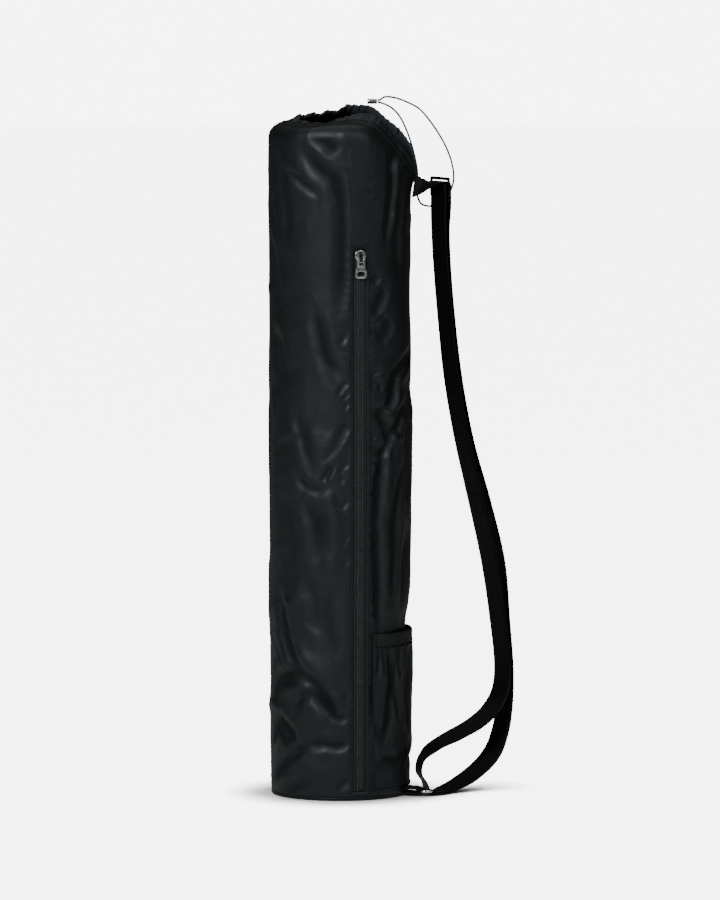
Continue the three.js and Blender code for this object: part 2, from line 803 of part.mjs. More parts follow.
function makeStrapInner() {
  const halfThick = glideThickness / 2;
  const halfBar = glideBar / 2;
  const fold = [
    atGlide(legOut, -strapEndTail),
    atGlide(legOut, -0.4 * strapEndTail),
    ...cornerStations(atGlide, halfThick, halfBar, 1, 1),
    ...cornerStations(atGlide, -halfThick, halfBar, -1, 1).reverse(),
    atGlide(-legOut, -0.5 * strapEndTail),
    atGlide(-legOut, -1.4 * strapEndTail),
  ];
  const run = innerStrand.map((row) => strapStation(...row));
  const end = [
    atRing(0.25 * ringEdge, 2.6 * ringWire),
    atRing(ringEdge - bend, 0.7 * ringWire),
    ...cornerStations(atRing, ringEdge, -ringWire / 2, -1, -1),
    atRing(strandJoint, -ringUnder),
  ];
  return web("strap_inner", ribbonGeometry(smoothStations([...fold, ...run, ...end]), webWidth, webThickness));
}

function makeStrapOuter() {
  const start = [
    atRing(strandJoint + gap, -ringUnder),
    atRing(strandJoint + 0.5 * ringWire, -ringUnder),
    atRing(strandJoint + 2.5 * ringWire, -ringUnder),
  ];
  const run = outerStrand.map((row) => strapStation(...row));
  const end = [
    atGlide(outerLegOut, -1.2 * strapEndTail),
    atGlide(outerLegOut, -0.4 * strapEndTail),
    atGlide(outerLegOut, 0),
    atGlide(0.75 * outerLegOut, 0.85 * crossUp),
    atGlide(0.4 * outerLegOut, crossUp),
    atGlide(-0.4 * legOut, crossUp),
    atGlide(-legOut, crossUp),
  ];
  return web("strap_outer", ribbonGeometry(smoothStations([...start, ...run, ...end]), webWidth, webThickness));
}

// The sewn tab that carries the buckle: level at the buckle, upright where it is sewn to the bag.
function makeTopTab() {
  const start = atGlide(-legOut - gap, crossUp);
  const straight = atGlide(-legOut - gap - webThickness, crossUp);
  const leaving = atGlide(-legOut - gap - 4 * webThickness, crossUp);
  const low = topPoint(tabAzimuth, 0);
  const high = topPoint(tabAzimuth, 1);
  const upright = high.clone().sub(low).normalize();
  const outward = vec(Math.cos(rad(tabAzimuth)), Math.sin(rad(tabAzimuth)), 0);
  const seam = { place: low.lerp(high, tabSeamShare).addScaledVector(outward, tabClearance), across: upright };
  const before = { place: seam.place.clone().addScaledVector(outward, 3 * webThickness), across: upright };
  const middle = {
    place: leaving.place.clone().lerp(before.place, 0.5),
    across: leaving.across.clone().add(upright).normalize(),
  };
  const stations = smoothStations([start, straight, leaving, middle, before, seam]);
  return web("top_tab", ribbonGeometry(stations, webWidth, webThickness));
}

// The buckle that the strap runs through: a flat frame with a middle bar.
function makeStrapSlider() {
  const halfHole = webWidth / 2 + glideEndClearance;
  const halfWidth = halfHole + glideSide;
  const halfLength = 1.5 * glideBar + glideSlot;
  const shape = new THREE.Shape();
  const corner = glideCorner;
  shape.moveTo(-halfWidth + corner, -halfLength);
  shape.lineTo(halfWidth - corner, -halfLength);
  shape.lineTo(halfWidth, -halfLength + corner);
  shape.lineTo(halfWidth, halfLength - corner);
  shape.lineTo(halfWidth - corner, halfLength);
  shape.lineTo(-halfWidth + corner, halfLength);
  shape.lineTo(-halfWidth, halfLength - corner);
  shape.lineTo(-halfWidth, -halfLength + corner);
  for (const side of [-1, 1]) {
    const near = (side * glideBar) / 2;
    const far = near + side * glideSlot;
    const hole = new THREE.Path();
    hole.moveTo(-halfHole, near);
    hole.lineTo(halfHole, near);
    hole.lineTo(halfHole, far);
    hole.lineTo(-halfHole, far);
    shape.holes.push(hole);
  }
  const geometry = new THREE.ExtrudeGeometry(shape, { depth: glideThickness, bevelEnabled: false });
  geometry.translate(0, 0, -glideThickness / 2);
  const out = vec(Math.cos(glideHeading), Math.sin(glideHeading), 0);
  const up = vec(0, 0, 1);
  const mesh = metal("strap_slider", geometry);
  mesh.applyMatrix4(new THREE.Matrix4().makeBasis(up.clone().cross(out), up, out));
  mesh.position.copy(glideCentre);
  return mesh;
}

// The ring at the base lies level, its long bars across the strap.
function makeBottomRing() {
  const halfHole = webWidth / 2 + ringBarClearance;
  const halfLong = halfHole + ringWire;
  const halfShort = ringHoleWidth / 2 + ringWire;
  const corner = ringCorner;
  const shape = new THREE.Shape();
  shape.moveTo(-halfShort + corner, -halfLong);
  shape.lineTo(halfShort - corner, -halfLong);
  shape.lineTo(halfShort, -halfLong + corner);
  shape.lineTo(halfShort, halfLong - corner);
  shape.lineTo(halfShort - corner, halfLong);
  shape.lineTo(-halfShort + corner, halfLong);
  shape.lineTo(-halfShort, halfLong - corner);
  shape.lineTo(-halfShort, -halfLong + corner);
  const hole = new THREE.Path();
  hole.moveTo(-ringHoleWidth / 2, -halfHole);
  hole.lineTo(ringHoleWidth / 2, -halfHole);
  hole.lineTo(ringHoleWidth / 2, halfHole);
  hole.lineTo(-ringHoleWidth / 2, halfHole);
  shape.holes = [hole];
  const geometry = new THREE.ExtrudeGeometry(shape, { depth: ringWire, bevelEnabled: false });
  geometry.translate(0, 0, -ringWire / 2);
  const mesh = metal("bottom_ring", geometry);
  mesh.rotation.z = ringHeading;
  mesh.position.copy(ringCentre);
  return mesh;
}

// The sewn tab that carries the ring: out over the ring's inner bar and back under it.
function makeBottomTab() {
  const bar = atRing(-ringEdge - ringWire / 2, 0).place;
  const rootAzimuth = Math.atan2(bar.y, bar.x);
  const outward = vec(Math.cos(rootAzimuth), Math.sin(rootAzimuth), 0);
  const across = vec(-Math.sin(rootAzimuth), Math.cos(rootAzimuth), 0);
  const root = (up) => {
    const height = ringCentre.z + up;
    const foot = wallPoint(THREE.MathUtils.radToDeg(rootAzimuth), height);
    return { place: foot.addScaledVector(outward, ringTabClearance), across };
  };
  const stations = [
    root(ringUnder),
    atRing(-ringEdge - ringWire, ringUnder),
    ...cornerStations(atRing, -ringEdge, ringWire / 2, 1, 1).reverse(),
    ...cornerStations(atRing, -ringEdge, -ringWire / 2, 1, -1),
    atRing(-ringEdge - ringWire, -ringUnder),
    root(-ringUnder),
  ];
  return web("bottom_tab", ribbonGeometry(smoothStations(stations), webWidth, webThickness));
}

// The cord stopper lies on the far hem; both ends of the cord meet its end face.
const stopperRim = ruffledPoint(stopperAzimuth, 1);
const rimRow = topRow(() => 1, hemThickness);
const rimUnderStopper = [...rimRow.outer, ...rimRow.inner].filter(
  (point) => point.y > 0 && Math.abs(point.x - stopperRim.x) < stopperLength,
);
const rimTop = Math.max(...rimUnderStopper.map((point) => point.z));
const stopperCentre = vec(stopperRim.x, stopperRim.y, rimTop + stopperRadius + gap);

function makeCordStopper() {
  const half = stopperLength / 2;
  const profile = [
    new THREE.Vector2(0, -half),
    new THREE.Vector2(stopperRadius - stopperEdge, -half),
    new THREE.Vector2(stopperRadius, -half + stopperEdge),
    new THREE.Vector2(stopperRadius, half - stopperEdge),
    new THREE.Vector2(stopperRadius - stopperEdge, half),
    new THREE.Vector2(0, half),
  ];
  const geometry = new THREE.LatheGeometry(profile, stopperSides);
  geometry.rotateZ(-Math.PI / 2);
  const mesh = metal("cord_stopper", geometry);
  mesh.position.copy(stopperCentre);
  return mesh;
}

function makeDrawcord() {
  const port = stopperCentre.x + stopperLength / 2 + gap;
  const route = cordRoute.map((point) => vec(...point));
  const upper = vec(port, stopperCentre.y, stopperCentre.z + cordEndsApart);
  const lower = vec(port, stopperCentre.y, stopperCentre.z - cordEndsApart);
  const straight = vec(2, 0, 0);
  const points = [upper, upper.clone().add(straight), ...route, lower.clone().add(straight), lower];
  const path = new THREE.CatmullRomCurve3(points, false, "centripetal");
  const section = new THREE.Shape();
  for (let i = 0; i < cordSides; i += 1) {
    const turn = (2 * Math.PI * i) / cordSides;
    const x = (cordDiameter / 2) * Math.cos(turn);
    const y = (cordDiameter / 2) * Math.sin(turn);
    if (i === 0) section.moveTo(x, y);
    else section.lineTo(x, y);
  }
  const options = { steps: cordSteps, bevelEnabled: false, extrudePath: path };
  return piece("drawcord", new THREE.ExtrudeGeometry(section, options), 0x17191b, 0.6, 0);
}

const bag = new THREE.Group();
bag.add(makeBagBody());
bag.add(makeMouthHem());
bag.add(makeBasePanel());
bag.add(makeZipperTape());
bag.add(makeZipperCoil());
const sliderFrame = makeSliderFrame();
sliderFrame.add(makeZipperSlider());
sliderFrame.add(makeZipPull());
bag.add(sliderFrame);
bag.add(makeSidePocket());
bag.add(makePocketBand());
bag.add(makeStrapInner());
bag.add(makeStrapOuter());
bag.add(makeTopTab());
bag.add(makeStrapSlider());
bag.add(makeBottomTab());
bag.add(makeBottomRing());
bag.add(makeCordStopper());
bag.add(makeDrawcord());

export default bag;
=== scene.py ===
"""Looks for a drawstring bag for a rolled exercise mat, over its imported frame.

Lengths are millimetres in the tables and formulas, and metres in the meshes. Azimuths are degrees about
+Z from +X, so the front is at -90 and the strap's side at 0.
"""
import math

import bmesh
import bpy
import numpy as np
from bpy.props import FloatProperty, FloatVectorProperty, IntProperty, PointerProperty
from mathutils import Matrix, Vector


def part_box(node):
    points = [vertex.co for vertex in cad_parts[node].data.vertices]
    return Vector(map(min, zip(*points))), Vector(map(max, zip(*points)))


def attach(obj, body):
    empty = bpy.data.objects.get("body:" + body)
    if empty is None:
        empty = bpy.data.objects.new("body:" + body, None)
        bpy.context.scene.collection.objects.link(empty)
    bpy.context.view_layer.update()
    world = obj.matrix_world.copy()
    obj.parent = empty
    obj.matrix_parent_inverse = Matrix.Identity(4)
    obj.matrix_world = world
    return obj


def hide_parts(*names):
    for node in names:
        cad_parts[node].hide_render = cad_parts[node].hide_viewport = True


bl_info = {
    "name": "Mat bag looks",
    "version": (1, 0, 0),
    "blender": (4, 5, 0),
    "location": "View3D > Sidebar > Mat bag",
    "description": "Cloth, zip, webbing, metal fittings and studio for a drawstring mat bag",
    "category": "Object",
}

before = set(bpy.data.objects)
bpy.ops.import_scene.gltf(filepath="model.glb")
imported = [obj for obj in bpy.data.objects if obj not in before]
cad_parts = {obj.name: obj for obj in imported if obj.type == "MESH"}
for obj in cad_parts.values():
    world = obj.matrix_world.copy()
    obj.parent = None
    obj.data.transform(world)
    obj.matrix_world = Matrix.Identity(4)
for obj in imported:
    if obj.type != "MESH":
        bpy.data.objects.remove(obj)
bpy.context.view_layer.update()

MM = 0.001
BAG = "bag"
PULL = "pull"

# Sizes shared with the frame
BAG_RADIUS = 73.2
BAG_HEIGHT = 694.0
CLOTH_WALL = 1.4
WALL_BOTTOM = 2.8
SHOULDER_ROUND = 12.0
MOUTH_HALF_LENGTH = 62.0
MOUTH_HALF_WIDTH = 40.0
MOUTH_SHIFT = (18.0, 3.0)
NECK_SHARE = 0.5
NECK_ARCH = 2.0
CORNER_SHARE = 0.36
ZIP_AZIMUTH = -73.3
SLOT_WIDTH = 14.5
SLOT_BOTTOM = 9.4
SLOT_TOP = 572.0
SLOT_ANGLE = math.degrees(SLOT_WIDTH / BAG_RADIUS)
POCKET_HEIGHT = 158.0
BAND_BOTTOM = 158.3
BAND_TOP = 172.8
POCKET_SLACK = 5.9
SLIDER_HEIGHT = 564.6
WEB_WIDTH = 25.0
WEB_THICKNESS = 1.5
CORD_DIAMETER = 2.2
SLIDER_PROUD = 0.1

# How the neck runs from the shoulder in to the rim: powers of the share, in plan and in height
NECK_SPREAD = 0.65
NECK_RISE = 3

# The drawstring's channel: the share at its middle, half its width as a share, and how far it swells
CHANNEL_MIDDLE = 0.83
CHANNEL_HALF = 0.10
CHANNEL_SWELL = 0.9

# The wall's flat behind the pocket: its middle and half its width in degrees, its depth and its fades
FLAT_MIDDLE = -6.0
FLAT_HALF_ANGLE = 62.0
FLAT_DEPTH = 5.2
FLAT_FADE = 42.0
FLAT_ABOVE_BAND = 6.0

# Rows of the tube's mesh above the window, and columns across the window
RISING_ROWS = 42
WINDOW_COLUMNS = 12

# Radius of the tube along its height: height share, radius share
BAG_SECTIONS = (
    (0, 0.978), (0.02, 0.99), (0.2, 0.99), (0.3, 0.996), (0.38, 1.007), (0.46, 1.022),
    (0.56, 1.024), (0.65, 1.008), (0.73, 0.998), (0.84, 1.002), (0.9, 1.014), (1, 1.012),
)

# Where the wall turns in, round the bag: azimuth, height share
SHOULDER_HEIGHTS = (
    (-180, 1), (-135, 1.002), (-95, 1.004), (-70, 0.998), (-52, 0.972), (-30, 0.935), (0, 0.9),
    (30, 0.935), (60, 0.985), (90, 1.006), (135, 1.004), (180, 1),
)

# Height of the mouth's rim, round the mouth: azimuth, height share
RIM_HEIGHTS = (
    (-180, 1.012), (-140, 1.009), (-118, 1.008), (-99, 1.02), (-74, 1.022), (-60, 1.002),
    (-37, 0.972), (0, 0.938), (35, 0.985), (52, 1.001), (70, 1.022), (90, 1.031), (118, 1.02),
    (145, 1.017), (180, 1.012),
)

# Strength of the hem's gathers round the mouth: azimuth, share
GATHER_SHARES = (
    (-180, 0.75), (-120, 0.4), (-80, 0.55), (-45, 0.25), (0, 0.1), (40, 0.5), (80, 1), (150, 1),
    (180, 0.75),
)

# Creases of the tube: half width mm, depth mm (in is positive), lip beside it as a share of the depth,
# then azimuth and height share of each of its points
CREASES = (
    (9.0, 2.6, 0.30, (-114.9, 0.994), (-100, 0.984), (-91, 0.966)),
    (7.0, 3.0, 0.45, (-122.2, 0.972), (-106.6, 0.946), (-93.6, 0.928), (-88.5, 0.894)),
    (6.5, 2.8, 0.45, (-93.6, 0.928), (-89, 0.894), (-87.6, 0.859), (-88.5, 0.799), (-88.9, 0.735)),
    (4.2, 1.9, 0.35, (-141, 0.939), (-126.8, 0.929), (-106.6, 0.904)),
    (7.0, 1.8, 0.30, (-150, 0.958), (-143.5, 0.915), (-139, 0.88), (-137, 0.84)),
    (5.0, 4.0, 0.40, (-38, 0.975), (-42.8, 0.947), (-43, 0.916), (-46.7, 0.869), (-48, 0.835)),
    (7.0, 2.2, 0.30, (-26, 0.955), (-30, 0.90), (-36, 0.84), (-34, 0.79)),
    (5.0, 2.0, 0.50, (-55.7, 0.786), (-62, 0.775)),
    (6.0, 2.8, 0.35, (-50, 0.768), (-54, 0.748), (-59.5, 0.728)),
    (8.0, 3.0, 0.35, (-44, 0.72), (-50, 0.70), (-58, 0.688)),
    (6.5, 2.6, 0.50, (-110, 0.735), (-106, 0.704), (-101.7, 0.670), (-91, 0.633)),
    (2.6, 1.1, 0.60, (-81.8, 0.628), (-86, 0.623), (-91.4, 0.606)),
    (2.6, 1.1, 0.60, (-81.4, 0.611), (-85, 0.607), (-88.6, 0.598)),
    (2.6, 0.9, 0.60, (-81.6, 0.598), (-84, 0.594), (-86.6, 0.586)),
    (4.2, 1.7, 0.55, (-81.8, 0.574), (-85.6, 0.560), (-93.6, 0.531), (-100.3, 0.512)),
    (3.4, 2.0, 0.50, (-95.6, 0.503), (-99, 0.494), (-103.6, 0.480)),
    (3.0, 1.1, 0.60, (-82.6, 0.507), (-86, 0.501), (-90.4, 0.489)),
    (2.8, 0.9, 0.60, (-82.2, 0.488), (-86, 0.487), (-90, 0.478)),
    (6.5, 1.9, 0.35, (-128.4, 0.584), (-122, 0.552), (-117.4, 0.522), (-114, 0.500)),
    (5.0, 1.8, 0.50, (-126.7, 0.486), (-119, 0.472), (-108, 0.466), (-99, 0.470)),
    (9.0, 2.0, 0.35, (-120, 0.452), (-111, 0.420), (-108, 0.382), (-110, 0.352)),
    (9.0, -1.5, 0.10, (-98, 0.47), (-96, 0.42), (-98, 0.37), (-95, 0.32)),
    (10.0, 1.6, 0.30, (-140, 0.46), (-134, 0.40), (-132, 0.34)),
    (6.0, 4.2, 0.45, (-9.9, 0.665), (-24, 0.652), (-39, 0.634), (-42, 0.606), (-47.3, 0.59), (-57, 0.583)),
    (6.0, 3.6, 0.45, (-22, 0.590), (-33, 0.573), (-38, 0.556), (-47.3, 0.552)),
    (5.0, 3.0, 0.50, (-45.5, 0.552), (-48, 0.534), (-52, 0.524), (-58.6, 0.519)),
    (5.0, 2.6, 0.50, (-60.4, 0.585), (-54, 0.576), (-50.5, 0.562), (-52, 0.548)),
    (5.2, 4.2, 0.50, (-52, 0.520), (-55.5, 0.49), (-57.5, 0.465), (-58.7, 0.421)),
    (5.6, 4.4, 0.50, (-58.7, 0.43), (-58.2, 0.385), (-57.5, 0.346), (-55.5, 0.255)),
    (4.0, -2.4, 0.30, (-48.5, 0.534), (-49.5, 0.482), (-48.8, 0.43)),
    (6.0, 3.0, 0.45, (-27, 0.50), (-33, 0.468), (-39, 0.423), (-43, 0.385)),
    (6.5, 3.0, 0.40, (-35.2, 0.412), (-39, 0.376), (-41.6, 0.338), (-41, 0.30)),
    (8.0, 2.2, 0.40, (-16, 0.60), (-22, 0.545), (-19, 0.49), (-24, 0.43)),
    (10.0, 2.4, 0.35, (-18, 0.40), (-24, 0.34), (-22, 0.28)),
    (3.0, 1.1, 0.60, (-65.0, 0.634), (-59, 0.641), (-55, 0.645)),
    (3.0, 1.1, 0.60, (-65.0, 0.624), (-59, 0.626), (-55.5, 0.622), (-54.5, 0.612)),
    (2.8, 1.0, 0.60, (-65.2, 0.541), (-60, 0.546), (-54, 0.549)),
    (2.8, 1.0, 0.60, (-65.2, 0.531), (-60, 0.533), (-54.5, 0.540)),
    (2.6, 1.0, 0.60, (-65.2, 0.506), (-61, 0.506), (-57.5, 0.505)),
    (2.6, 1.0, 0.60, (-65.2, 0.492), (-61, 0.491), (-57.5, 0.492)),
    (2.8, 1.0, 0.60, (-65.2, 0.478), (-60, 0.486), (-56, 0.492)),
    (2.6, 1.0, 0.60, (-65.2, 0.460), (-61, 0.466), (-57.5, 0.470)),
    (2.6, 0.9, 0.60, (-65.2, 0.421), (-61.5, 0.421), (-58.5, 0.420)),
    (2.6, 0.9, 0.60, (-65.2, 0.400), (-61.5, 0.404), (-58.5, 0.408)),
    (2.8, 1.0, 0.55, (-65.0, 0.70), (-60, 0.705), (-56, 0.712)),
    (2.8, 1.0, 0.55, (-81.8, 0.70), (-86, 0.694), (-89, 0.684)),
    (2.6, 0.9, 0.55, (-81.8, 0.452), (-85, 0.448), (-88, 0.438)),
    (2.6, 0.8, 0.55, (-81.8, 0.40), (-85, 0.392), (-88, 0.385)),
    (2.6, 0.8, 0.55, (-81.8, 0.36), (-84.5, 0.358), (-87, 0.350)),
    (8.0, 1.8, 0.40, (-104, 0.44), (-101, 0.40), (-98, 0.36)),
    (9.0, 1.8, 0.30, (-96, 0.33), (-99, 0.29), (-96, 0.245), (-90, 0.21)),
    (9.0, 1.5, 0.30, (-120, 0.34), (-112, 0.30), (-108, 0.25)),
    (7.0, 3.2, 0.55, (-146, 0.30), (-140.9, 0.245), (-131, 0.210), (-119.5, 0.185)),
    (6.5, 3.4, 0.55, (-119.5, 0.187), (-108, 0.170), (-99, 0.148), (-92.3, 0.128)),
    (7.0, 3.6, 0.50, (-166, 0.140), (-156, 0.165), (-145.5, 0.180), (-133, 0.187), (-124.3, 0.182)),
    (5.0, 2.6, 0.55, (-130.5, 0.148), (-122, 0.158), (-113.5, 0.159), (-104.9, 0.150), (-97, 0.134)),
    (4.0, 2.0, 0.55, (-99, 0.136), (-92.3, 0.125), (-84, 0.123)),
    (7.0, 3.6, 0.50, (-166, 0.082), (-156, 0.104), (-148, 0.114), (-139, 0.104), (-127.6, 0.088)),
    (6.0, 3.0, 0.50, (-160, 0.030), (-149, 0.043), (-138.9, 0.057), (-125.9, 0.075), (-114.9, 0.084)),
    (5.0, 2.4, 0.50, (-116, 0.084), (-104, 0.086), (-92, 0.083), (-81.6, 0.086)),
    (5.0, 1.8, 0.50, (-143.5, 0.011), (-131, 0.020), (-120, 0.029), (-111, 0.034)),
    (4.5, 1.2, 0.50, (-91, 0.020), (-86, 0.027), (-81, 0.030)),
    (12.0, -1.8, 0.05, (-128, 0.135), (-113, 0.125), (-101, 0.112)),
    (12.0, -1.4, 0.05, (-140, 0.075), (-120, 0.052), (-100, 0.045)),
    (14.0, 2.0, 0.25, (-170, 0.62), (-172, 0.50), (-176, 0.38)),
    (8.0, 2.2, 0.35, (-168, 0.84), (-158, 0.80), (-150, 0.74)),
    (8.0, 1.8, 0.35, (-160, 0.70), (-150, 0.68), (-141, 0.63)),
    (16.0, 3.0, 0.30, (150, 0.80), (140, 0.68), (128, 0.55)),
    (14.0, 2.6, 0.30, (95, 0.90), (104, 0.78), (112, 0.66)),
    (16.0, 3.0, 0.30, (60, 0.66), (73, 0.55), (84, 0.42)),
    (14.0, 2.4, 0.30, (130, 0.42), (118, 0.32), (102, 0.22)),
    (13.0, 2.6, 0.30, (24, 0.86), (30, 0.73), (34, 0.60)),
    (6.0, 2.4, 0.45, (170, 0.20), (150, 0.17), (132, 0.15)),
    (7.0, 2.4, 0.45, (160, 0.09), (140, 0.07), (118, 0.085), (96, 0.07)),
    (6.0, 2.2, 0.45, (100, 0.16), (84, 0.13), (66, 0.14)),
    (7.0, 2.6, 0.40, (4, 0.60), (16, 0.53), (30, 0.50)),
    (6.0, 2.2, 0.40, (0, 0.45), (12, 0.40), (22, 0.33)),
    (7.0, 2.2, 0.40, (50, 0.34), (66, 0.30), (78, 0.24)),
    (6.0, 2.0, 0.40, (112, 0.97), (120, 0.93), (132, 0.90)),
    (6.0, 2.0, 0.40, (70, 0.96), (64, 0.91), (52, 0.87)),
)

# Share of the depths above, the deepest that the tube's creases go, and share of every table's lips
CREASE_SHARE = 1.6
DEEPEST = 4.8
LIP_SHARE = 0.6

# Layers of small creases: seed, strokes, size mm, depth mm
CRUMPLES = ((10, 70, 52, 0.9), (11, 260, 24, 0.5), (12, 420, 11, 0.2))

# Middle of the strap's inner strand, then of its outer one: height share of 633, reach share, tilt
INNER_STRAND = (
    (0.93, 0.183, 0), (0.878, 0.206, 0), (0.779, 0.27, 0), (0.679, 0.353, 0), (0.579, 0.488, 0),
    (0.478, 0.662, 0), (0.376, 0.83, 0), (0.276, 0.944, 0), (0.196, 1.003, 0), (0.158, 0.97, 6),
    (0.131, 0.855, 12), (0.11, 0.66, 15), (0.0938, 0.39, 15), (0.078, 0.12, 10), (0.06, -0.03, 4),
    (0.038, -0.06, 0),
)
OUTER_STRAND = (
    (0.0052, 0.26, 6), (0.0231, 0.58, 15), (0.0556, 0.862, 15), (0.092, 0.975, 8), (0.13, 1.022, 2),
    (0.19, 1.036, 0), (0.276, 0.99, 0), (0.376, 0.925, 0), (0.478, 0.745, 0), (0.579, 0.535, 0),
    (0.679, 0.392, 0), (0.779, 0.3, 0), (0.878, 0.24, 0), (0.93, 0.228, 0),
)

# The drawcord's free loop, from the stopper out past the strap and back behind the bag
CORD_ROUTE = (
    (47, 44, 722.5), (59.5, 44.5, 721), (70.3, 43, 717), (81.7, 41, 711), (90, 39, 702.5),
    (98, 35, 692), (106, 31, 679.5), (111.8, 27, 668), (115.8, 23, 657), (118, 19, 645),
    (117.6, 15, 635), (114, 13.5, 625.5), (107, 14, 616), (99, 15, 611.5), (91, 16.5, 610.8),
    (84.5, 18.5, 613), (81, 22, 620), (81, 27, 633), (80, 32, 650), (75.5, 37, 670),
    (69, 41.5, 689), (63, 44, 701), (57, 45, 708.5), (50, 44.5, 713.5),
)


# Small maths on whole arrays

def smooth(x, low, high):
    """Zero below low, one above high, and 3t squared less 2t cubed between."""
    t = np.clip((np.asarray(x, float) - low) / (high - low), 0, 1)
    return t * t * (3 - 2 * t)


def wrapped(azimuth):
    """An azimuth brought into -180 to 180."""
    return (np.asarray(azimuth, float) + 180) % 360 - 180


def table_value(rows, x):
    """Cubic through a table's points, each slope being that between a point's two neighbours."""
    table = np.asarray(rows, float)
    place, value = table[:, 0], table[:, 1]
    before = np.maximum(np.arange(len(place)) - 1, 0)
    after = np.minimum(np.arange(len(place)) + 1, len(place) - 1)
    slope = (value[after] - value[before]) / (place[after] - place[before])
    x = np.asarray(x, float)
    i = np.clip(np.searchsorted(place, x, side="left") - 1, 0, len(place) - 2)
    run = place[i + 1] - place[i]
    t = np.clip((x - place[i]) / run, 0, 1)
    rise = value[i + 1] - value[i]
    start, end = slope[i] * run, slope[i + 1] * run
    return value[i] + t * (start + t * (3 * rise - 2 * start - end + t * (start + end - 2 * rise)))


def unit(vectors):
    """Vectors along the last axis at length one."""
    length = np.linalg.norm(vectors, axis=-1, keepdims=True)
    return vectors / np.maximum(length, 1e-12)


def grid_normals(points, closed_round):
    """Outward normals of a grid of points: the columns' run crossed with the rows' run."""
    if closed_round:
        around = np.roll(points, -1, axis=1) - np.roll(points, 1, axis=1)
    else:
        around = np.gradient(points, axis=1)
    along = np.gradient(points, axis=0)
    return unit(np.cross(around, along))


def through(points, per_span):
    """A centripetal Catmull-Rom line through points: a cubic on each span, knots a root of chord apart."""
    p = np.asarray(points, float)
    p = np.vstack([2 * p[0] - p[1], p, 2 * p[-1] - p[-2]])
    x0, x1, x2, x3 = p[:-3], p[1:-2], p[2:-1], p[3:]
    d0, d1, d2 = (np.sqrt(np.linalg.norm(b - a, axis=1))[:, None] for a, b in ((x0, x1), (x1, x2), (x2, x3)))
    m1 = ((x1 - x0) / d0 - (x2 - x0) / (d0 + d1) + (x2 - x1) / d1) * d1
    m2 = ((x2 - x1) / d1 - (x3 - x1) / (d1 + d2) + (x3 - x2) / d2) * d1
    t = (np.arange(per_span) / per_span)[None, :, None]
    cubic = (
        x1[:, None]
        + t * m1[:, None]
        + t**2 * (3 * (x2 - x1) - 2 * m1 - m2)[:, None]
        + t**3 * (2 * (x1 - x2) + m1 + m2)[:, None]
    )
    return np.vstack([cubic.reshape(-1, p.shape[1]), p[-2]])


def even_steps(points, step):
    """Points on a line, about step apart along its length."""
    legs = np.linalg.norm(np.diff(points, axis=0), axis=1)
    length = np.concatenate([[0], np.cumsum(legs)])
    count = max(2, int(round(length[-1] / step)) + 1)
    at = np.linspace(0, length[-1], count)
    return np.stack([np.interp(at, length, points[:, k]) for k in range(points.shape[1])], axis=1)


def line_length(points):
    """Sum of a line's legs."""
    return float(np.linalg.norm(np.diff(points, axis=0), axis=1).sum())


# The bag's shape

def crease_depth(azimuth, height, creases):
    """Sum of the creases: each a bell across its line, with a raised lip beside it, fading at both ends."""
    depth = np.zeros(np.broadcast(azimuth, height).shape)
    for half_width, deep, lip, *points in creases:
        along = np.array([(a, s * BAG_HEIGHT) for a, s in points])
        middle = along[:, 0].mean()
        x = np.radians(wrapped(azimuth - middle)) * BAG_RADIUS
        y = height
        px = np.radians(along[:, 0] - middle) * BAG_RADIUS
        py = along[:, 1]
        legs = np.hypot(np.diff(px), np.diff(py))
        total = legs.sum()
        best = np.full(depth.shape, 1e9)
        side = np.zeros(depth.shape)
        place = np.zeros(depth.shape)
        walked = 0.0
        for k, leg in enumerate(legs):
            ux, uy = (px[k + 1] - px[k]) / leg, (py[k + 1] - py[k]) / leg
            t = np.clip((x - px[k]) * ux + (y - py[k]) * uy, 0, leg)
            dx, dy = x - px[k] - t * ux, y - py[k] - t * uy
            distance = np.hypot(dx, dy)
            nearer = distance < best
            best = np.where(nearer, distance, best)
            side = np.where(nearer, np.sign(ux * dy - uy * dx), side)
            place = np.where(nearer, walked + t, place)
            walked += leg
        signed = best * side
        fade = smooth(place, -0.12 * total, 0.28 * total) * (1 - smooth(place, 0.72 * total, 1.12 * total))
        bell = np.exp(-((best / half_width) ** 2))
        beside = np.exp(-(((signed - 1.7 * half_width) / (1.1 * half_width)) ** 2))
        beside += np.exp(-(((signed + 1.9 * half_width) / (1.4 * half_width)) ** 2)) * 0.5
        depth += deep * (bell - LIP_SHARE * lip * beside) * fade
    return depth


def crumple(azimuth, height, seed, strokes, size, rough):
    """Small creases scattered evenly over the cloth: short straight strokes of seeded place and turn."""
    pick = np.random.default_rng(seed)
    depth = np.zeros(np.broadcast(azimuth, height).shape)
    for _ in range(strokes):
        middle = pick.uniform(-180, 180)
        level = pick.uniform(0, BAG_HEIGHT)
        turn = pick.uniform(0, math.pi)
        half_length = pick.uniform(0.6, 1.6) * size
        half_width = pick.uniform(0.14, 0.3) * size
        deep = pick.normal(0, rough)
        bow = pick.uniform(-0.25, 0.25) / half_length
        x = np.radians(wrapped(azimuth - middle)) * BAG_RADIUS
        y = height - level
        along = x * math.cos(turn) + y * math.sin(turn)
        across = y * math.cos(turn) - x * math.sin(turn) - bow * along**2
        depth += deep * np.exp(-((along / half_length) ** 2) - (across / half_width) ** 2)
    return depth


def beside_zip(azimuth):
    """Degrees from the edge of the zip's window."""
    return np.abs(wrapped(azimuth - ZIP_AZIMUTH)) - SLOT_ANGLE / 2


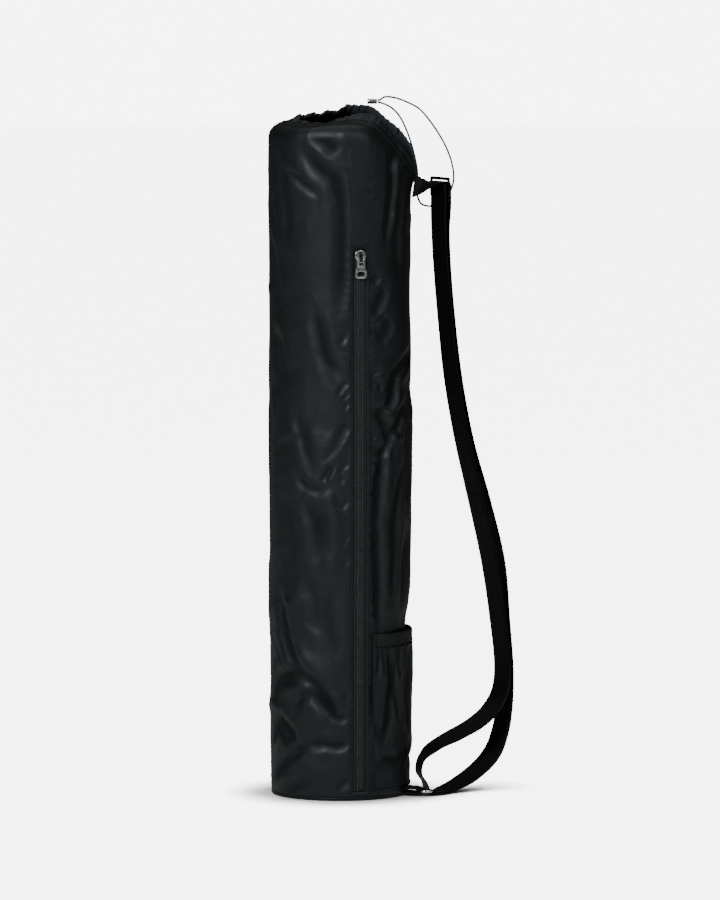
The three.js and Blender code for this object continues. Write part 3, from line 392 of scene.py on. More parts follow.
def pocket_dent(azimuth, height):
    """The flat behind the pocket: half a cosine wave round the bag, faded below and above."""
    across = np.minimum(np.abs(wrapped(azimuth - FLAT_MIDDLE)) / FLAT_HALF_ANGLE, 1)
    start = BAND_TOP + FLAT_ABOVE_BAND
    fade = smooth(height, 0, FLAT_FADE) * (1 - smooth(height, start, start + FLAT_FADE))
    return FLAT_DEPTH * 0.5 * (1 + np.cos(np.pi * across)) * fade


def plain_radius(height):
    """The tube's radius before any fold: BAG_RADIUS times the sections' share at that height."""
    return BAG_RADIUS * table_value(BAG_SECTIONS, np.asarray(height, float) / BAG_HEIGHT)


def tube_creases(azimuth, height):
    """The tube's creases, held below their deepest by a tanh."""
    return DEEPEST * np.tanh(CREASE_SHARE * crease_depth(azimuth, height, CREASES) / DEEPEST)


def zip_pucker(azimuth, height):
    """Ripples beside the zip: a sine up the bag, its pitch and strength wandering, unlike on each side."""
    turned = np.where(wrapped(azimuth - ZIP_AZIMUTH) > 0, 1.9, 0.0)
    ripple = np.sin(0.62 * height + 2.3 * np.sin(0.071 * height + turned) + 0.11 * azimuth)
    ripple = ripple * (0.35 + 0.65 * np.sin(0.043 * height + 1.3 * turned) ** 2)
    return 0.5 * ripple * (1 - smooth(beside_zip(azimuth), 5, 15))


def fold_depth(azimuth, height):
    """Creases, crumples and puckers, none at the window's edges and softer behind the pocket."""
    edge = smooth(beside_zip(azimuth), 1.4, 4.5)
    behind = smooth(wrapped(azimuth), -64, -58) * (1 - smooth(wrapped(azimuth), 48, 54))
    behind = behind * (1 - smooth(height, BAND_BOTTOM - 2, BAND_TOP + 8))
    fine = sum(crumple(azimuth, height, *layer) for layer in CRUMPLES)
    pucker = zip_pucker(azimuth, height)
    creases = tube_creases(azimuth, height)
    return (creases * (1 - 0.85 * behind) + (fine + pucker) * (1 - 0.6 * behind)) * edge


def wall_radius(azimuth, height):
    """The plain radius less the folds and the flat behind the pocket."""
    return plain_radius(height) - fold_depth(azimuth, height) - pocket_dent(azimuth, height)


def polar(radius, azimuth, height):
    """Points at a radius, an azimuth and a height."""
    turn = np.radians(azimuth)
    points = np.broadcast_arrays(radius * np.cos(turn), radius * np.sin(turn), height)
    return np.stack(points, axis=-1).astype(float)


def seam_line(radius, azimuth, height):
    """A line on the bag for stitches, and the level directions outwards from it."""
    line = polar(radius, azimuth, height)
    return line, unit(line * (1, 1, 0))


def shoulder_height(azimuth):
    """Height at which the wall turns in."""
    return BAG_HEIGHT * table_value(SHOULDER_HEIGHTS, wrapped(azimuth))


def top_point(azimuth, share):
    """The cloth above the wall: a quadratic round the shoulder up to CORNER_SHARE, then in to the rim.

    The run inwards goes as a root of the share and the rise as its cube, with a low arch added on top.
    """
    azimuth, share = np.broadcast_arrays(np.asarray(azimuth, float), np.asarray(share, float))
    low = shoulder_height(azimuth) - SHOULDER_ROUND
    below = polar(wall_radius(azimuth, low), azimuth, low)
    corner = below + (0, 0, SHOULDER_ROUND)
    turn = np.radians(azimuth)
    rim = np.stack([
        MOUTH_SHIFT[0] + MOUTH_HALF_LENGTH * np.cos(turn),
        MOUTH_SHIFT[1] + MOUTH_HALF_WIDTH * np.sin(turn),
        BAG_HEIGHT * table_value(RIM_HEIGHTS, wrapped(azimuth)),
    ], axis=-1)
    turned = corner + unit(rim - corner) * SHOULDER_ROUND
    t = np.clip(share / CORNER_SHARE, 0, 1)[..., None]
    bend = (1 - t) ** 2 * below + 2 * t * (1 - t) * corner + t**2 * turned
    s = np.clip((share - CORNER_SHARE) / (1 - CORNER_SHARE), 0, None)[..., None]
    line = turned + s**NECK_SPREAD * (rim - turned)
    line[..., 2:] = turned[..., 2:] + s**NECK_RISE * (rim - turned)[..., 2:]
    line[..., 2] += NECK_ARCH * np.sin(np.pi * np.clip(s[..., 0], 0, 1))
    return np.where(share[..., None] < CORNER_SHARE, bend, line)


def gathers(azimuth, share):
    """Gathers of the mouth: sixteen broad ones and finer ones between, growing towards the rim."""
    strength = table_value(GATHER_SHARES, wrapped(azimuth))
    turn = np.radians(azimuth)
    broad = np.sin(16 * turn + 1.2 * np.sin(3 * turn)) * 1.7 * smooth(share, 0.1, 1)
    fine = np.sin(59 * turn + 1.6 * np.sin(5 * turn + 0.7)) * (0.6 + 0.4 * np.sin(7 * turn + 2))
    finest = np.sin(97 * turn + 2.1 * np.sin(4 * turn)) * 0.35
    return strength * (broad + (fine + finest) * 1.25 * smooth(share, 0.45, 1))


# Building meshes

def new_piece(name, vertices, faces, material, body=BAG, uv=None, uv_period=None, fold=None):
    """An object at the origin from points in millimetres and faces, riding on a body.

    fold is a number for each point that the cloth's material reads: up to 1 deep in a fold, where it paints
    shade, below 0 for the paler inner side, which is partly painted light.
    """
    mesh = bpy.data.meshes.new(name)
    mesh.from_pydata((np.asarray(vertices, float) * MM).tolist(), [], faces)
    mesh.update()
    if uv is not None:
        layer = mesh.uv_layers.new(name="cloth")
        loops = np.empty(len(mesh.loops), dtype=np.int32)
        mesh.loops.foreach_get("vertex_index", loops)
        values = np.asarray(uv, float)[loops]
        if uv_period:
            starts = np.empty(len(mesh.polygons), dtype=np.int32)
            totals = np.empty(len(mesh.polygons), dtype=np.int32)
            mesh.polygons.foreach_get("loop_start", starts)
            mesh.polygons.foreach_get("loop_total", totals)
            highest = np.repeat(np.maximum.reduceat(values[:, 0], starts), totals)
            values[:, 0] += np.where(values[:, 0] < highest - uv_period / 2, uv_period, 0)
        layer.data.foreach_set("uv", (values * MM).ravel())
    mesh.polygons.foreach_set("use_smooth", np.ones(len(mesh.polygons), dtype=bool))
    if fold is not None:
        painted_shade_and_lining = mesh.attributes.new("fold", "FLOAT", "POINT")
        painted_shade_and_lining.data.foreach_set("value", np.asarray(fold, float).ravel())
    mesh.materials.append(material)
    obj = bpy.data.objects.new(name, mesh)
    bpy.context.scene.collection.objects.link(obj)
    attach(obj, body)
    return obj


def grid_quads(rows, columns, closed_round, first=0, flipped=False):
    """Quads of a grid of points stored row by row."""
    cells = columns if closed_round else columns - 1
    row, column = np.meshgrid(np.arange(rows - 1), np.arange(cells), indexing="ij")
    beside = (column + 1) % columns
    a, b = row * columns + column, row * columns + beside
    c, d = (row + 1) * columns + beside, (row + 1) * columns + column
    quads = np.stack([a, d, c, b] if flipped else [a, b, c, d], axis=-1)
    return quads.reshape(-1, 4) + first


def shell(outer, inner, closed_round, keep=None):
    """A closed wall: the outer grid, every second row and column of the inner one, and strips that join them.

    keep says which blocks of two by two outer cells are cloth; the rest are openings.
    """
    rows, columns = outer.shape[:2]
    cells = columns if closed_round else columns - 1
    block_rows, block_columns = (rows - 1) // 2, cells // 2
    if keep is None:
        keep = np.ones((block_rows, block_columns), dtype=bool)
    inner = inner[::2, ::2]
    inner_columns = inner.shape[1]
    first = rows * columns
    quads = grid_quads(rows, columns, closed_round).reshape(rows - 1, cells, 4)
    fine = quads[np.repeat(np.repeat(keep, 2, axis=0), 2, axis=1)]
    coarse = grid_quads(inner.shape[0], inner_columns, closed_round, first, True)
    coarse = coarse.reshape(block_rows, block_columns, 4)[keep]
    faces = fine.tolist() + coarse.tolist()
    edge_keep = np.zeros((block_rows + 2, block_columns + 2), dtype=bool)
    edge_keep[1:-1, 1:-1] = keep
    if closed_round:
        edge_keep[1:-1, 0] = keep[:, -1]
        edge_keep[1:-1, -1] = keep[:, 0]
    middle = edge_keep[1:-1, 1:-1]
    sides = (
        (edge_keep[:-2, 1:-1], ((0, 0), (0, 1), (0, 2))),
        (edge_keep[1:-1, 2:], ((0, 2), (1, 2), (2, 2))),
        (edge_keep[2:, 1:-1], ((2, 2), (2, 1), (2, 0))),
        (edge_keep[1:-1, :-2], ((2, 0), (1, 0), (0, 0))),
    )
    for neighbour, walk in sides:
        r, c = np.nonzero(middle & ~neighbour)
        out = [(2 * r + dr) * columns + (2 * c + dc) % columns for dr, dc in walk]
        ends = [
            first + (r + dr // 2) * inner_columns + (c + dc // 2) % inner_columns
            for dr, dc in (walk[0], walk[2])
        ]
        faces += np.stack([out[2], out[1], out[0], ends[0], ends[1]], axis=-1).tolist()
    points = np.vstack([outer.reshape(-1, 3), inner.reshape(-1, 3)])
    return points, faces


def swept(sections, closed_path=False):
    """A closed profile carried along a path: sections is stations by profile points by three."""
    stations, around = sections.shape[:2]
    points = sections.reshape(-1, 3)
    rows = stations if closed_path else stations - 1
    row, column = np.meshgrid(np.arange(rows), np.arange(around), indexing="ij")
    ahead, beside = (row + 1) % stations, (column + 1) % around
    here, there = row * around, ahead * around
    quads = np.stack([here + column, here + beside, there + beside, there + column], axis=-1)
    faces = quads.reshape(-1, 4).tolist()
    if not closed_path:
        faces.append(list(range(around))[::-1])
        faces.append([(stations - 1) * around + k for k in range(around)])
    return points, faces


def round_tube(path, radius, sides, closed_path=False, start=(0, 0, 1)):
    """A circle carried along a path, its frame turned as little as the path allows."""
    path = np.asarray(path, float)
    if closed_path:
        run = unit(np.roll(path, -1, axis=0) - np.roll(path, 1, axis=0))
    else:
        run = unit(np.gradient(path, axis=0))
    normal = np.empty_like(path)
    current = np.asarray(start, float)
    for i, tangent in enumerate(run):
        current = current - tangent * current.dot(tangent)
        current = current / np.linalg.norm(current)
        normal[i] = current
    second = np.cross(run, normal)
    turn = 2 * np.pi * np.arange(sides) / sides
    radius = np.broadcast_to(np.asarray(radius, float), (len(path),))[:, None, None]
    sections = path[:, None] + radius * (
        normal[:, None] * np.cos(turn)[None, :, None] + second[:, None] * np.sin(turn)[None, :, None]
    )
    return swept(sections, closed_path)


def turned_solid(profile, sides, axis="z"):
    """A profile of radius and height turned about an axis, its ends closed on it."""
    profile = np.asarray(profile, float)
    turn = 2 * np.pi * np.arange(sides) / sides
    ring = np.stack([
        profile[:, :1] * np.cos(turn), profile[:, :1] * np.sin(turn), np.repeat(profile[:, 1:], sides, axis=1)
    ], axis=-1)
    points = ring.reshape(-1, 3)
    faces = grid_quads(len(profile), sides, True).tolist()
    faces.append(list(range(sides))[::-1])
    faces.append([(len(profile) - 1) * sides + k for k in range(sides)])
    if axis == "x":
        points = points[:, [2, 0, 1]]
    return points, faces


def joined(parts):
    """One list of points and faces from several."""
    points, faces, first = [], [], 0
    for part_points, part_faces in parts:
        points.append(part_points)
        faces += [[k + first for k in face] for face in part_faces]
        first += len(part_points)
    return np.vstack(points), faces


def repeated(points, faces, places):
    """A small shape set at many places, each a 4 by 4 frame in millimetres."""
    points = np.asarray(points, float)
    places = np.asarray(places, float)
    moved = np.einsum("nij,vj->nvi", places[:, :3, :3], points) + places[:, None, :3, 3]
    many = []
    for n in range(len(places)):
        shift = n * len(points)
        many += [[k + shift for k in face] for face in faces]
    return moved.reshape(-1, 3), many


def frames(origin, x_axis, y_axis, z_axis):
    """4 by 4 frames from arrays of origins and axes."""
    out = np.zeros((len(origin), 4, 4))
    out[:, :3, 0], out[:, :3, 1], out[:, :3, 2], out[:, :3, 3] = x_axis, y_axis, z_axis, origin
    out[:, 3, 3] = 1
    return out


def ribbon(places, across, width, thickness, profile_points=9):
    """A web's section carried along its middle: a flat oval with quick round edges, across used as given."""
    run = unit(np.gradient(places, axis=0))
    across = unit(across)
    normal = unit(np.cross(across, run))
    share = np.sin(np.linspace(-0.5, 0.5, profile_points) * np.pi)
    half = 0.5 * thickness * np.sqrt(np.clip(1 - np.abs(share) ** 14, 0.02, 1))
    section = np.stack([np.append(share, share[::-1]) / 2, np.append(half, -half[::-1])], axis=1)
    width = np.broadcast_to(np.asarray(width, float), (len(places),))[:, None, None]
    sections = places[:, None] + across[:, None] * section[None, :, :1] * width
    sections = sections + normal[:, None] * section[None, :, 1:]
    points, faces = swept(sections)
    faces = [face[::-1] for face in faces]
    legs = np.concatenate([[0], np.cumsum(np.linalg.norm(np.diff(places, axis=0), axis=1))])
    uv = np.broadcast_arrays(section[None, :, 0] * width[:, :, 0], legs[:, None])
    return points, faces, np.stack(uv, axis=-1).reshape(-1, 2)


def thread(length, radius=0.24, bulge=0.5):
    """One stitch along x: a six-sided spindle, flat where it dives into the cloth."""
    share = np.array([-1, -0.7, 0, 0.7, 1])
    thick = radius * np.array([0.35, 0.85, 1, 0.85, 0.35])
    lift = bulge * radius * (1 - share**2)
    turn = 2 * np.pi * np.arange(6) / 6
    sections = np.stack([
        np.repeat((share * length / 2)[:, None], 6, axis=1),
        thick[:, None] * np.cos(turn)[None],
        thick[:, None] * np.sin(turn)[None] + lift[:, None],
    ], axis=-1)
    points, faces = swept(sections)
    return points, faces


def stitched(path, outward, pitch, length_share=0.62, radius=0.24):
    """Stitches along a path, each a short thread that lies on the cloth."""
    legs = np.linalg.norm(np.diff(path, axis=0), axis=1)
    walked = np.concatenate([[0], np.cumsum(legs)])
    count = max(1, int(walked[-1] / pitch))
    at = (np.arange(count) + 0.5) * walked[-1] / count

    def along(values, place):
        return np.stack([np.interp(place, walked, values[:, k]) for k in range(3)], axis=1)

    middle = along(path, at)
    run = unit(along(path, at + 0.4) - along(path, at - 0.4))
    out = along(outward, at)
    out = unit(out - run * (out * run).sum(axis=1, keepdims=True))
    points, faces = thread(pitch * length_share, radius)
    return repeated(points, faces, frames(middle + out * radius * 0.3, run, np.cross(out, run), out))


# Materials

def shade(color, share):
    """A colour darkened or lightened by a share, held at white."""
    return tuple(min(1, share * c) for c in color)


class Nodes:
    """Shorthand for one material's node tree."""

    def __init__(self, name, color, roughness, metallic=0.0, specular=0.5):
        self.material = bpy.data.materials.new(name)
        self.material.use_nodes = True
        self.material.diffuse_color = (*color, 1)
        self.tree = self.material.node_tree
        self.shader = self.tree.nodes["Principled BSDF"]
        self.set(self.shader, base_color=(*color, 1), roughness=roughness, metallic=metallic)
        self.shader.inputs["Specular IOR Level"].default_value = specular

    def set(self, node, **values):
        for key, value in values.items():
            node.inputs[key.replace("_", " ").title()].default_value = value

    def node(self, kind, **settings):
        made = self.tree.nodes.new(kind)
        for key, value in settings.items():
            setattr(made, key, value)
        return made

    def link(self, source, target):
        self.tree.links.new(source, target)

    def math(self, operation, a, b=None, c=None, clamp=False):
        made = self.node("ShaderNodeMath", operation=operation, use_clamp=clamp)
        for slot, value in zip(made.inputs, (a, b, c)):
            if value is None:
                continue
            if isinstance(value, (int, float)):
                slot.default_value = value
            else:
                self.link(value, slot)
        return made.outputs[0]

    def place(self, source="Object", scale=(1, 1, 1), rotation=(0, 0, 0)):
        """Coordinates in millimetres on the piece, from its own space or its cloth map."""
        coordinates = self.node("ShaderNodeTexCoord")
        mapping = self.node("ShaderNodeMapping")
        mapping.inputs["Scale"].default_value = tuple(1000 * s for s in scale)
        mapping.inputs["Rotation"].default_value = rotation
        self.link(coordinates.outputs[source], mapping.inputs["Vector"])
        return mapping.outputs["Vector"]

    def noise(self, vector, size, detail=3.0, rough=0.55, distortion=0.0):
        """Noise whose blobs are about size millimetres."""
        made = self.node("ShaderNodeTexNoise")
        self.link(vector, made.inputs["Vector"])
        made.inputs["Scale"].default_value = 1 / size
        made.inputs["Detail"].default_value = detail
        made.inputs["Roughness"].default_value = rough
        made.inputs["Distortion"].default_value = distortion
        return made.outputs["Fac"]

    def ramp(self, value, low, high, low_at=0.35, high_at=0.65):
        """A colour or grey that runs between two values."""
        made = self.node("ShaderNodeValToRGB")
        made.color_ramp.elements[0].position = low_at
        made.color_ramp.elements[1].position = high_at
        made.color_ramp.elements[0].color = (*low, 1) if isinstance(low, tuple) else (low, low, low, 1)
        made.color_ramp.elements[1].color = (*high, 1) if isinstance(high, tuple) else (high, high, high, 1)
        self.link(value, made.inputs["Fac"])
        return made.outputs["Color"]

    def mixed(self, share, first, second):
        """A colour between a socket's colour and a plain one."""
        made = self.node("ShaderNodeMix", data_type="RGBA")
        self.link(share, made.inputs["Factor"])
        self.link(first, made.inputs["A"])
        made.inputs["B"].default_value = (*second, 1)
        return made.outputs["Result"]

    def tinted(self, value, color, low, high, low_at=0.35, high_at=0.65):
        """The base colour, run by a value between two shares of a colour."""
        ramp = self.ramp(value, shade(color, low), shade(color, high), low_at, high_at)
        self.link(ramp, self.shader.inputs["Base Color"])

    def separate(self, vector):
        """The three coordinates of a vector."""
        made = self.node("ShaderNodeSeparateXYZ")
        self.link(vector, made.inputs["Vector"])
        return made.outputs

    def wave(self, value, pitch, phase=None):
        """Half a sine and a half, one period every pitch."""
        turned = self.math("MULTIPLY", value, 2 * math.pi / pitch)
        if phase is not None:
            turned = self.math("ADD", turned, phase)
        return self.math("MULTIPLY_ADD", self.math("SINE", turned), 0.5, 0.5)

    def bump(self, height, distance, strength=1.0, before=None):
        """Bump by a height whose full swing is distance millimetres."""
        made = self.node("ShaderNodeBump")
        made.inputs["Distance"].default_value = distance * MM
        made.inputs["Strength"].default_value = strength
        self.link(height, made.inputs["Height"])
        if before is not None:
            self.link(before, made.inputs["Normal"])
        return made.outputs["Normal"]


def nylon_material(name, color, settings):
    """Thin coated nylon: a fine plain weave, soft crumples in the bump, and a broad satin gloss.

    The fold attribute darkens the valleys with painted shade and roughens them, and below zero it brings up
    the paler inner side: partly the coating's own lighter back, partly painted light where no lamp reaches.
    """
    made = Nodes(name, color, settings.cloth_roughness, specular=0.5)
    place = made.place()
    tone = made.noise(place, 60, 3, 0.6)
    painted_shade_and_lining = made.node("ShaderNodeAttribute", attribute_name="fold")
    mottled = made.ramp(tone, shade(color, 0.82), shade(color, 1.2))
    # Painted shade: the fold attribute darkens the colour towards black in the valleys
    shaded = made.mixed(made.math("MULTIPLY", painted_shade_and_lining.outputs["Fac"], 0.8, clamp=True), mottled, (0, 0, 0))
    # The paler inner side: partly the coating's own lighter back, partly painted light on insides that no lamp
    # reaches
    lining_and_painted_light = shade(color, 4)
    both = made.mixed(made.math("MULTIPLY", painted_shade_and_lining.outputs["Fac"], -1.0, clamp=True), shaded, lining_and_painted_light)
    made.link(both, made.shader.inputs["Base Color"])
    patchy = made.noise(place, 26, 4, 0.6)
    valley = made.math("MULTIPLY", painted_shade_and_lining.outputs["Fac"], 0.42, clamp=True)
    gloss = made.math("MULTIPLY_ADD", patchy, 0.3, settings.cloth_roughness - 0.15)
    made.link(made.math("ADD", gloss, valley, clamp=True), made.shader.inputs["Roughness"])
    made.shader.inputs["Specular Tint"].default_value = (0.9, 0.97, 1.0, 1)
    soft = made.noise(place, 17, 3, 0.5, 0.6)
    normal = made.bump(soft, 0.7, 0.5)
    small = made.noise(place, 5.5, 3, 0.55, 0.8)
    normal = made.bump(small, 0.16, 0.5, normal)
    across, along = made.separate(made.place("UV"))[:2]
    warp, weft = made.wave(across, 0.62), made.wave(along, 0.62, math.pi / 2)
    weave = made.math("MAXIMUM", warp, weft)
    normal = made.bump(weave, 0.03, 0.35, normal)
    made.link(normal, made.shader.inputs["Normal"])
    return made.material


def webbing_material(name, color, settings, pitch=1.9):
    """Woven strapping: ribs across it, a twill on them, and a silkier selvedge at each edge."""
    made = Nodes(name, color, settings.web_roughness, specular=0.18)
    across, along = made.separate(made.place("UV"))[:2]
    slant = made.math("MULTIPLY", across, 2 * math.pi / 5.2)
    rib = made.wave(along, pitch)
    twill = made.wave(across, 1.15, made.math("MULTIPLY", along, 2 * math.pi / pitch / 2))
    height = made.math("ADD", made.math("MULTIPLY", rib, 0.65), made.math("MULTIPLY", twill, 0.35))
    speck = made.noise(made.place("UV", (1, 0.5, 1)), 0.9, 2, 0.5)
    tone = made.math("MULTIPLY_ADD", height, 0.5, made.math("MULTIPLY", speck, 0.5))
    made.tinted(tone, color, 0.55, 1.7, 0.2, 0.85)
    edge = made.math("GREATER_THAN", made.math("ABSOLUTE", across), 10.9)
    ribbed = made.math("MULTIPLY_ADD", rib, -0.12, settings.web_roughness + 0.06)
    rough = made.math("MULTIPLY_ADD", edge, -0.12, ribbed)
    made.link(rough, made.shader.inputs["Roughness"])
    wavy = made.wave(along, 40, slant)
    normal = made.bump(wavy, 0.12, 0.4)
    normal = made.bump(height, 0.28, 0.8, normal)
    made.link(normal, made.shader.inputs["Normal"])
    made.shader.inputs["Sheen Weight"].default_value = 0.12
    made.shader.inputs["Sheen Roughness"].default_value = 0.3
    return made.material


def elastic_material(name, color):
    """Knitted elastic: fine cords along it and a short zigzag between them."""
    made = Nodes(name, color, 0.62, specular=0.32)
    across, along = made.separate(made.place("UV"))[:2]
    cords = made.wave(along, 1.5)
    zigzag = made.wave(across, 0.9, made.math("MULTIPLY", cords, 2.4))
    height = made.math("ADD", made.math("MULTIPLY", cords, 0.6), made.math("MULTIPLY", zigzag, 0.4))
    made.tinted(height, color, 0.6, 1.5, 0.1, 0.9)
    made.link(made.bump(height, 0.2, 0.8), made.shader.inputs["Normal"])
    return made.material


def tape_material(name, color):
    """The zip's woven tape: a close herringbone along it."""
    made = Nodes(name, color, 0.6, specular=0.35)
    across, along = made.separate(made.place("UV"))[:2]
    bands = made.math("PINGPONG", across, 1.2)
    bone = made.wave(along, 1.0, made.math("MULTIPLY", bands, 2 * math.pi / 1.0))
    grain = made.wave(across, 0.6)
    height = made.math("ADD", made.math("MULTIPLY", bone, 0.7), made.math("MULTIPLY", grain, 0.3))
    made.tinted(height, color, 0.6, 1.8, 0.1, 0.9)
    made.link(made.bump(height, 0.16, 0.8), made.shader.inputs["Normal"])
    return made.material


def coil_material(name, color):
    """Moulded zip teeth: smooth dull nylon with slight wear."""
    made = Nodes(name, color, 0.38, specular=0.5)
    wear = made.noise(made.place(), 2.5, 3, 0.6)
    made.tinted(wear, color, 0.8, 1.6)
    made.link(made.ramp(wear, 0.32, 0.5), made.shader.inputs["Roughness"])
    made.link(made.bump(wear, 0.04, 0.5), made.shader.inputs["Normal"])
    return made.material


def thread_material(name, color, roughness, specular):
    """Twisted sewing thread: a slanting twist, with the gloss that is asked for."""
    made = Nodes(name, color, roughness, specular=specular)
    vector = made.place("Object", (1, 1, 1), (0.6, 0.3, 0.2))
    twist = made.wave(made.separate(vector)[0], 0.35)
    made.tinted(twist, color, 0.6, 1.5, 0.2, 0.8)
    made.link(made.bump(twist, 0.06, 0.5), made.shader.inputs["Normal"])
    return made.material


def metal_material(name, color, roughness, worn=None):
    """Plated die-cast metal: a soft cast ripple, fine rubbing marks, and brighter worn spots if asked."""
    made = Nodes(name, color, roughness, metallic=1.0)
    place = made.place()
    rub = made.noise(made.place("Object", (1, 1, 0.15)), 0.5, 4, 0.6)
    made.link(made.ramp(rub, max(0.05, roughness - 0.06), roughness + 0.14), made.shader.inputs["Roughness"])
    cast = made.noise(place, 2.2, 3, 0.5)
    if worn:
        patches = made.noise(place, 3.5, 4, 0.65)
        made.link(made.ramp(patches, color, worn, 0.56, 0.74), made.shader.inputs["Base Color"])
    else:
        made.tinted(cast, color, 0.9, 1.05)
    made.link(made.bump(cast, 0.05, 0.5), made.shader.inputs["Normal"])
    return made.material


def cord_material(name, color):
    """Braided elastic cord: two families of strands that cross on the round."""
    made = Nodes(name, color, 0.5, specular=0.5)
    around, along = made.separate(made.place("UV"))[:2]
    spin = made.math("MULTIPLY", around, 2 * math.pi * 4)
    one = made.wave(along, 2.6, spin)
    other = made.wave(along, 2.6, made.math("MULTIPLY", spin, -1))
    braid = made.math("MAXIMUM", one, other)
    made.tinted(braid, color, 0.5, 1.6, 0.45, 1.0)
    made.shader.inputs["Sheen Weight"].default_value = 0.2
    made.link(made.bump(braid, 0.22, 0.8), made.shader.inputs["Normal"])
    return made.material


def studio_material(name, color):
    """Pale paper with the faintest mottle, which glows for the camera and hardly lights the bag.

    Ambient occlusion dims the glow where the bag is near, and that draws the contact shadow.
    """
    made = Nodes(name, color, 0.9, specular=0.1)
    mottle = made.noise(made.place(), 900, 2, 0.5)
    near = made.node("ShaderNodeAmbientOcclusion", samples=4)
    near.inputs["Distance"].default_value = 0.06
    seen = made.node("ShaderNodeLightPath")
    glow = made.math("MULTIPLY", made.math("POWER", near.outputs["AO"], 7.0), 6.0)
    spill = made.math("MULTIPLY_ADD", seen.outputs["Is Camera Ray"], -0.03, 0.03)
    strength = made.math("MULTIPLY_ADD", seen.outputs["Is Camera Ray"], glow, spill)
    made.shader.inputs["Emission Color"].default_value = (1, 1, 1, 1)
    made.link(strength, made.shader.inputs["Emission Strength"])
    made.tinted(mottle, color, 0.995, 1)
    return made.material


# Settings and shared finishes

class BagSettings(bpy.types.PropertyGroup):
    """Sizes and colours of the looks that a user would change."""

    cloth_color: FloatVectorProperty(
        name="Cloth colour", description="Colour of the coated nylon", subtype="COLOR", size=3,
        default=(0.0074, 0.0083, 0.009), min=0, max=1,
    )
    cloth_roughness: FloatProperty(
        name="Cloth roughness", description="How broad the cloth's gloss is", default=0.5, min=0, max=1,
    )
    web_color: FloatVectorProperty(
        name="Webbing colour", description="Colour of the strap", subtype="COLOR", size=3,
        default=(0.0022, 0.0023, 0.0025), min=0, max=1,
    )
    web_roughness: FloatProperty(
        name="Webbing roughness", description="How broad the webbing's gloss is", default=0.46, min=0, max=1,
    )
    metal_color: FloatVectorProperty(
        name="Metal colour", description="Colour of the nickel fittings", subtype="COLOR", size=3,
        default=(0.84, 0.84, 0.855), min=0, max=1,
    )
    paper_color: FloatVectorProperty(
        name="Paper colour", description="Colour of the studio's paper", subtype="COLOR", size=3,
        default=(0.88, 0.88, 0.88), min=0, max=1,
    )
    stitch_pitch: FloatProperty(
        name="Stitch pitch", description="From one stitch to the next", default=0.0031, min=0.0015,
        max=0.006, unit="LENGTH", precision=4,
    )
    tooth_pitch: FloatProperty(
        name="Tooth pitch", description="From one zip tooth to the next on its side", default=0.00145,
        min=0.001, max=0.004, unit="LENGTH", precision=5,
    )
    columns_round: IntProperty(
        name="Mouth columns", description="Columns of the mouth's mesh round the bag", default=480,
        min=96, max=720,
    )


def settings_of():
    """The scene's own settings of the bag."""
    return bpy.context.scene.mat_bag


finishes = {}


def finish_of(name):
    """The shared material of that name, made when it is first asked for."""
    if name not in finishes:
        s = settings_of()
        cloth, web = tuple(s.cloth_color), tuple(s.web_color)
        makers = {
            "nylon": lambda: nylon_material("coated nylon", cloth, s),
            # The hem's cloth is painted 1.6 times paler: painted light on the mouth's inside, which no lamp
            # reaches
            "hem nylon painted paler": lambda: nylon_material("hem nylon painted paler", shade(cloth, 1.6), s),
            "pocket nylon": lambda: nylon_material("pocket nylon", shade(cloth, 0.9), s),
            "webbing": lambda: webbing_material("strap webbing", web, s),
            "elastic": lambda: elastic_material("knitted elastic", (0.014, 0.0152, 0.0162)),
            "tape": lambda: tape_material("zip tape", (0.017, 0.0185, 0.0195)),
            "coil": lambda: coil_material("zip coil", (0.024, 0.026, 0.027)),
            # Near black, darker than the cloth: the thread's own black and painted shade where the stitches
            # dive into their holes
            "thread": lambda: thread_material("sewing thread with painted hole shade", (0.0008, 0.0008, 0.0009), 0.8, 0.04),
            "pale thread": lambda: thread_material("coil thread", (0.15, 0.156, 0.162), 0.5, 0.5),
            "nickel": lambda: metal_material("polished nickel", tuple(s.metal_color), 0.2),
            # The slider's bridge: nickel painted near black, a painted shadow in the slit over the pull's bar
            "nickel painted in shade": lambda: metal_material("nickel with painted shadow", shade(s.metal_color, 0.05), 0.3),
            "black nickel": lambda: metal_material(
                "black nickel", (0.016, 0.016, 0.018), 0.3, (0.42, 0.42, 0.43)
            ),
            "cord": lambda: cord_material("braided cord", (0.12, 0.124, 0.13)),
        }
        finishes[name] = makers[name]()
    return finishes[name]


# Cloth pieces

def slot_columns():
    """Azimuths of the tube's columns, finer on the sides seen most, and how many blocks the window spans."""
    left, right = ZIP_AZIMUTH - SLOT_ANGLE / 2, ZIP_AZIMUTH + SLOT_ANGLE / 2
    window = np.linspace(left, right, WINDOW_COLUMNS + 1)[:-1]
    near = np.linspace(right, 22, 91)[:-1]
    far = np.linspace(22, 180, 71)[:-1]
    front = np.linspace(180, left + 360, 103)[:-1]
    return np.concatenate([window, near, far, front]), WINDOW_COLUMNS // 2


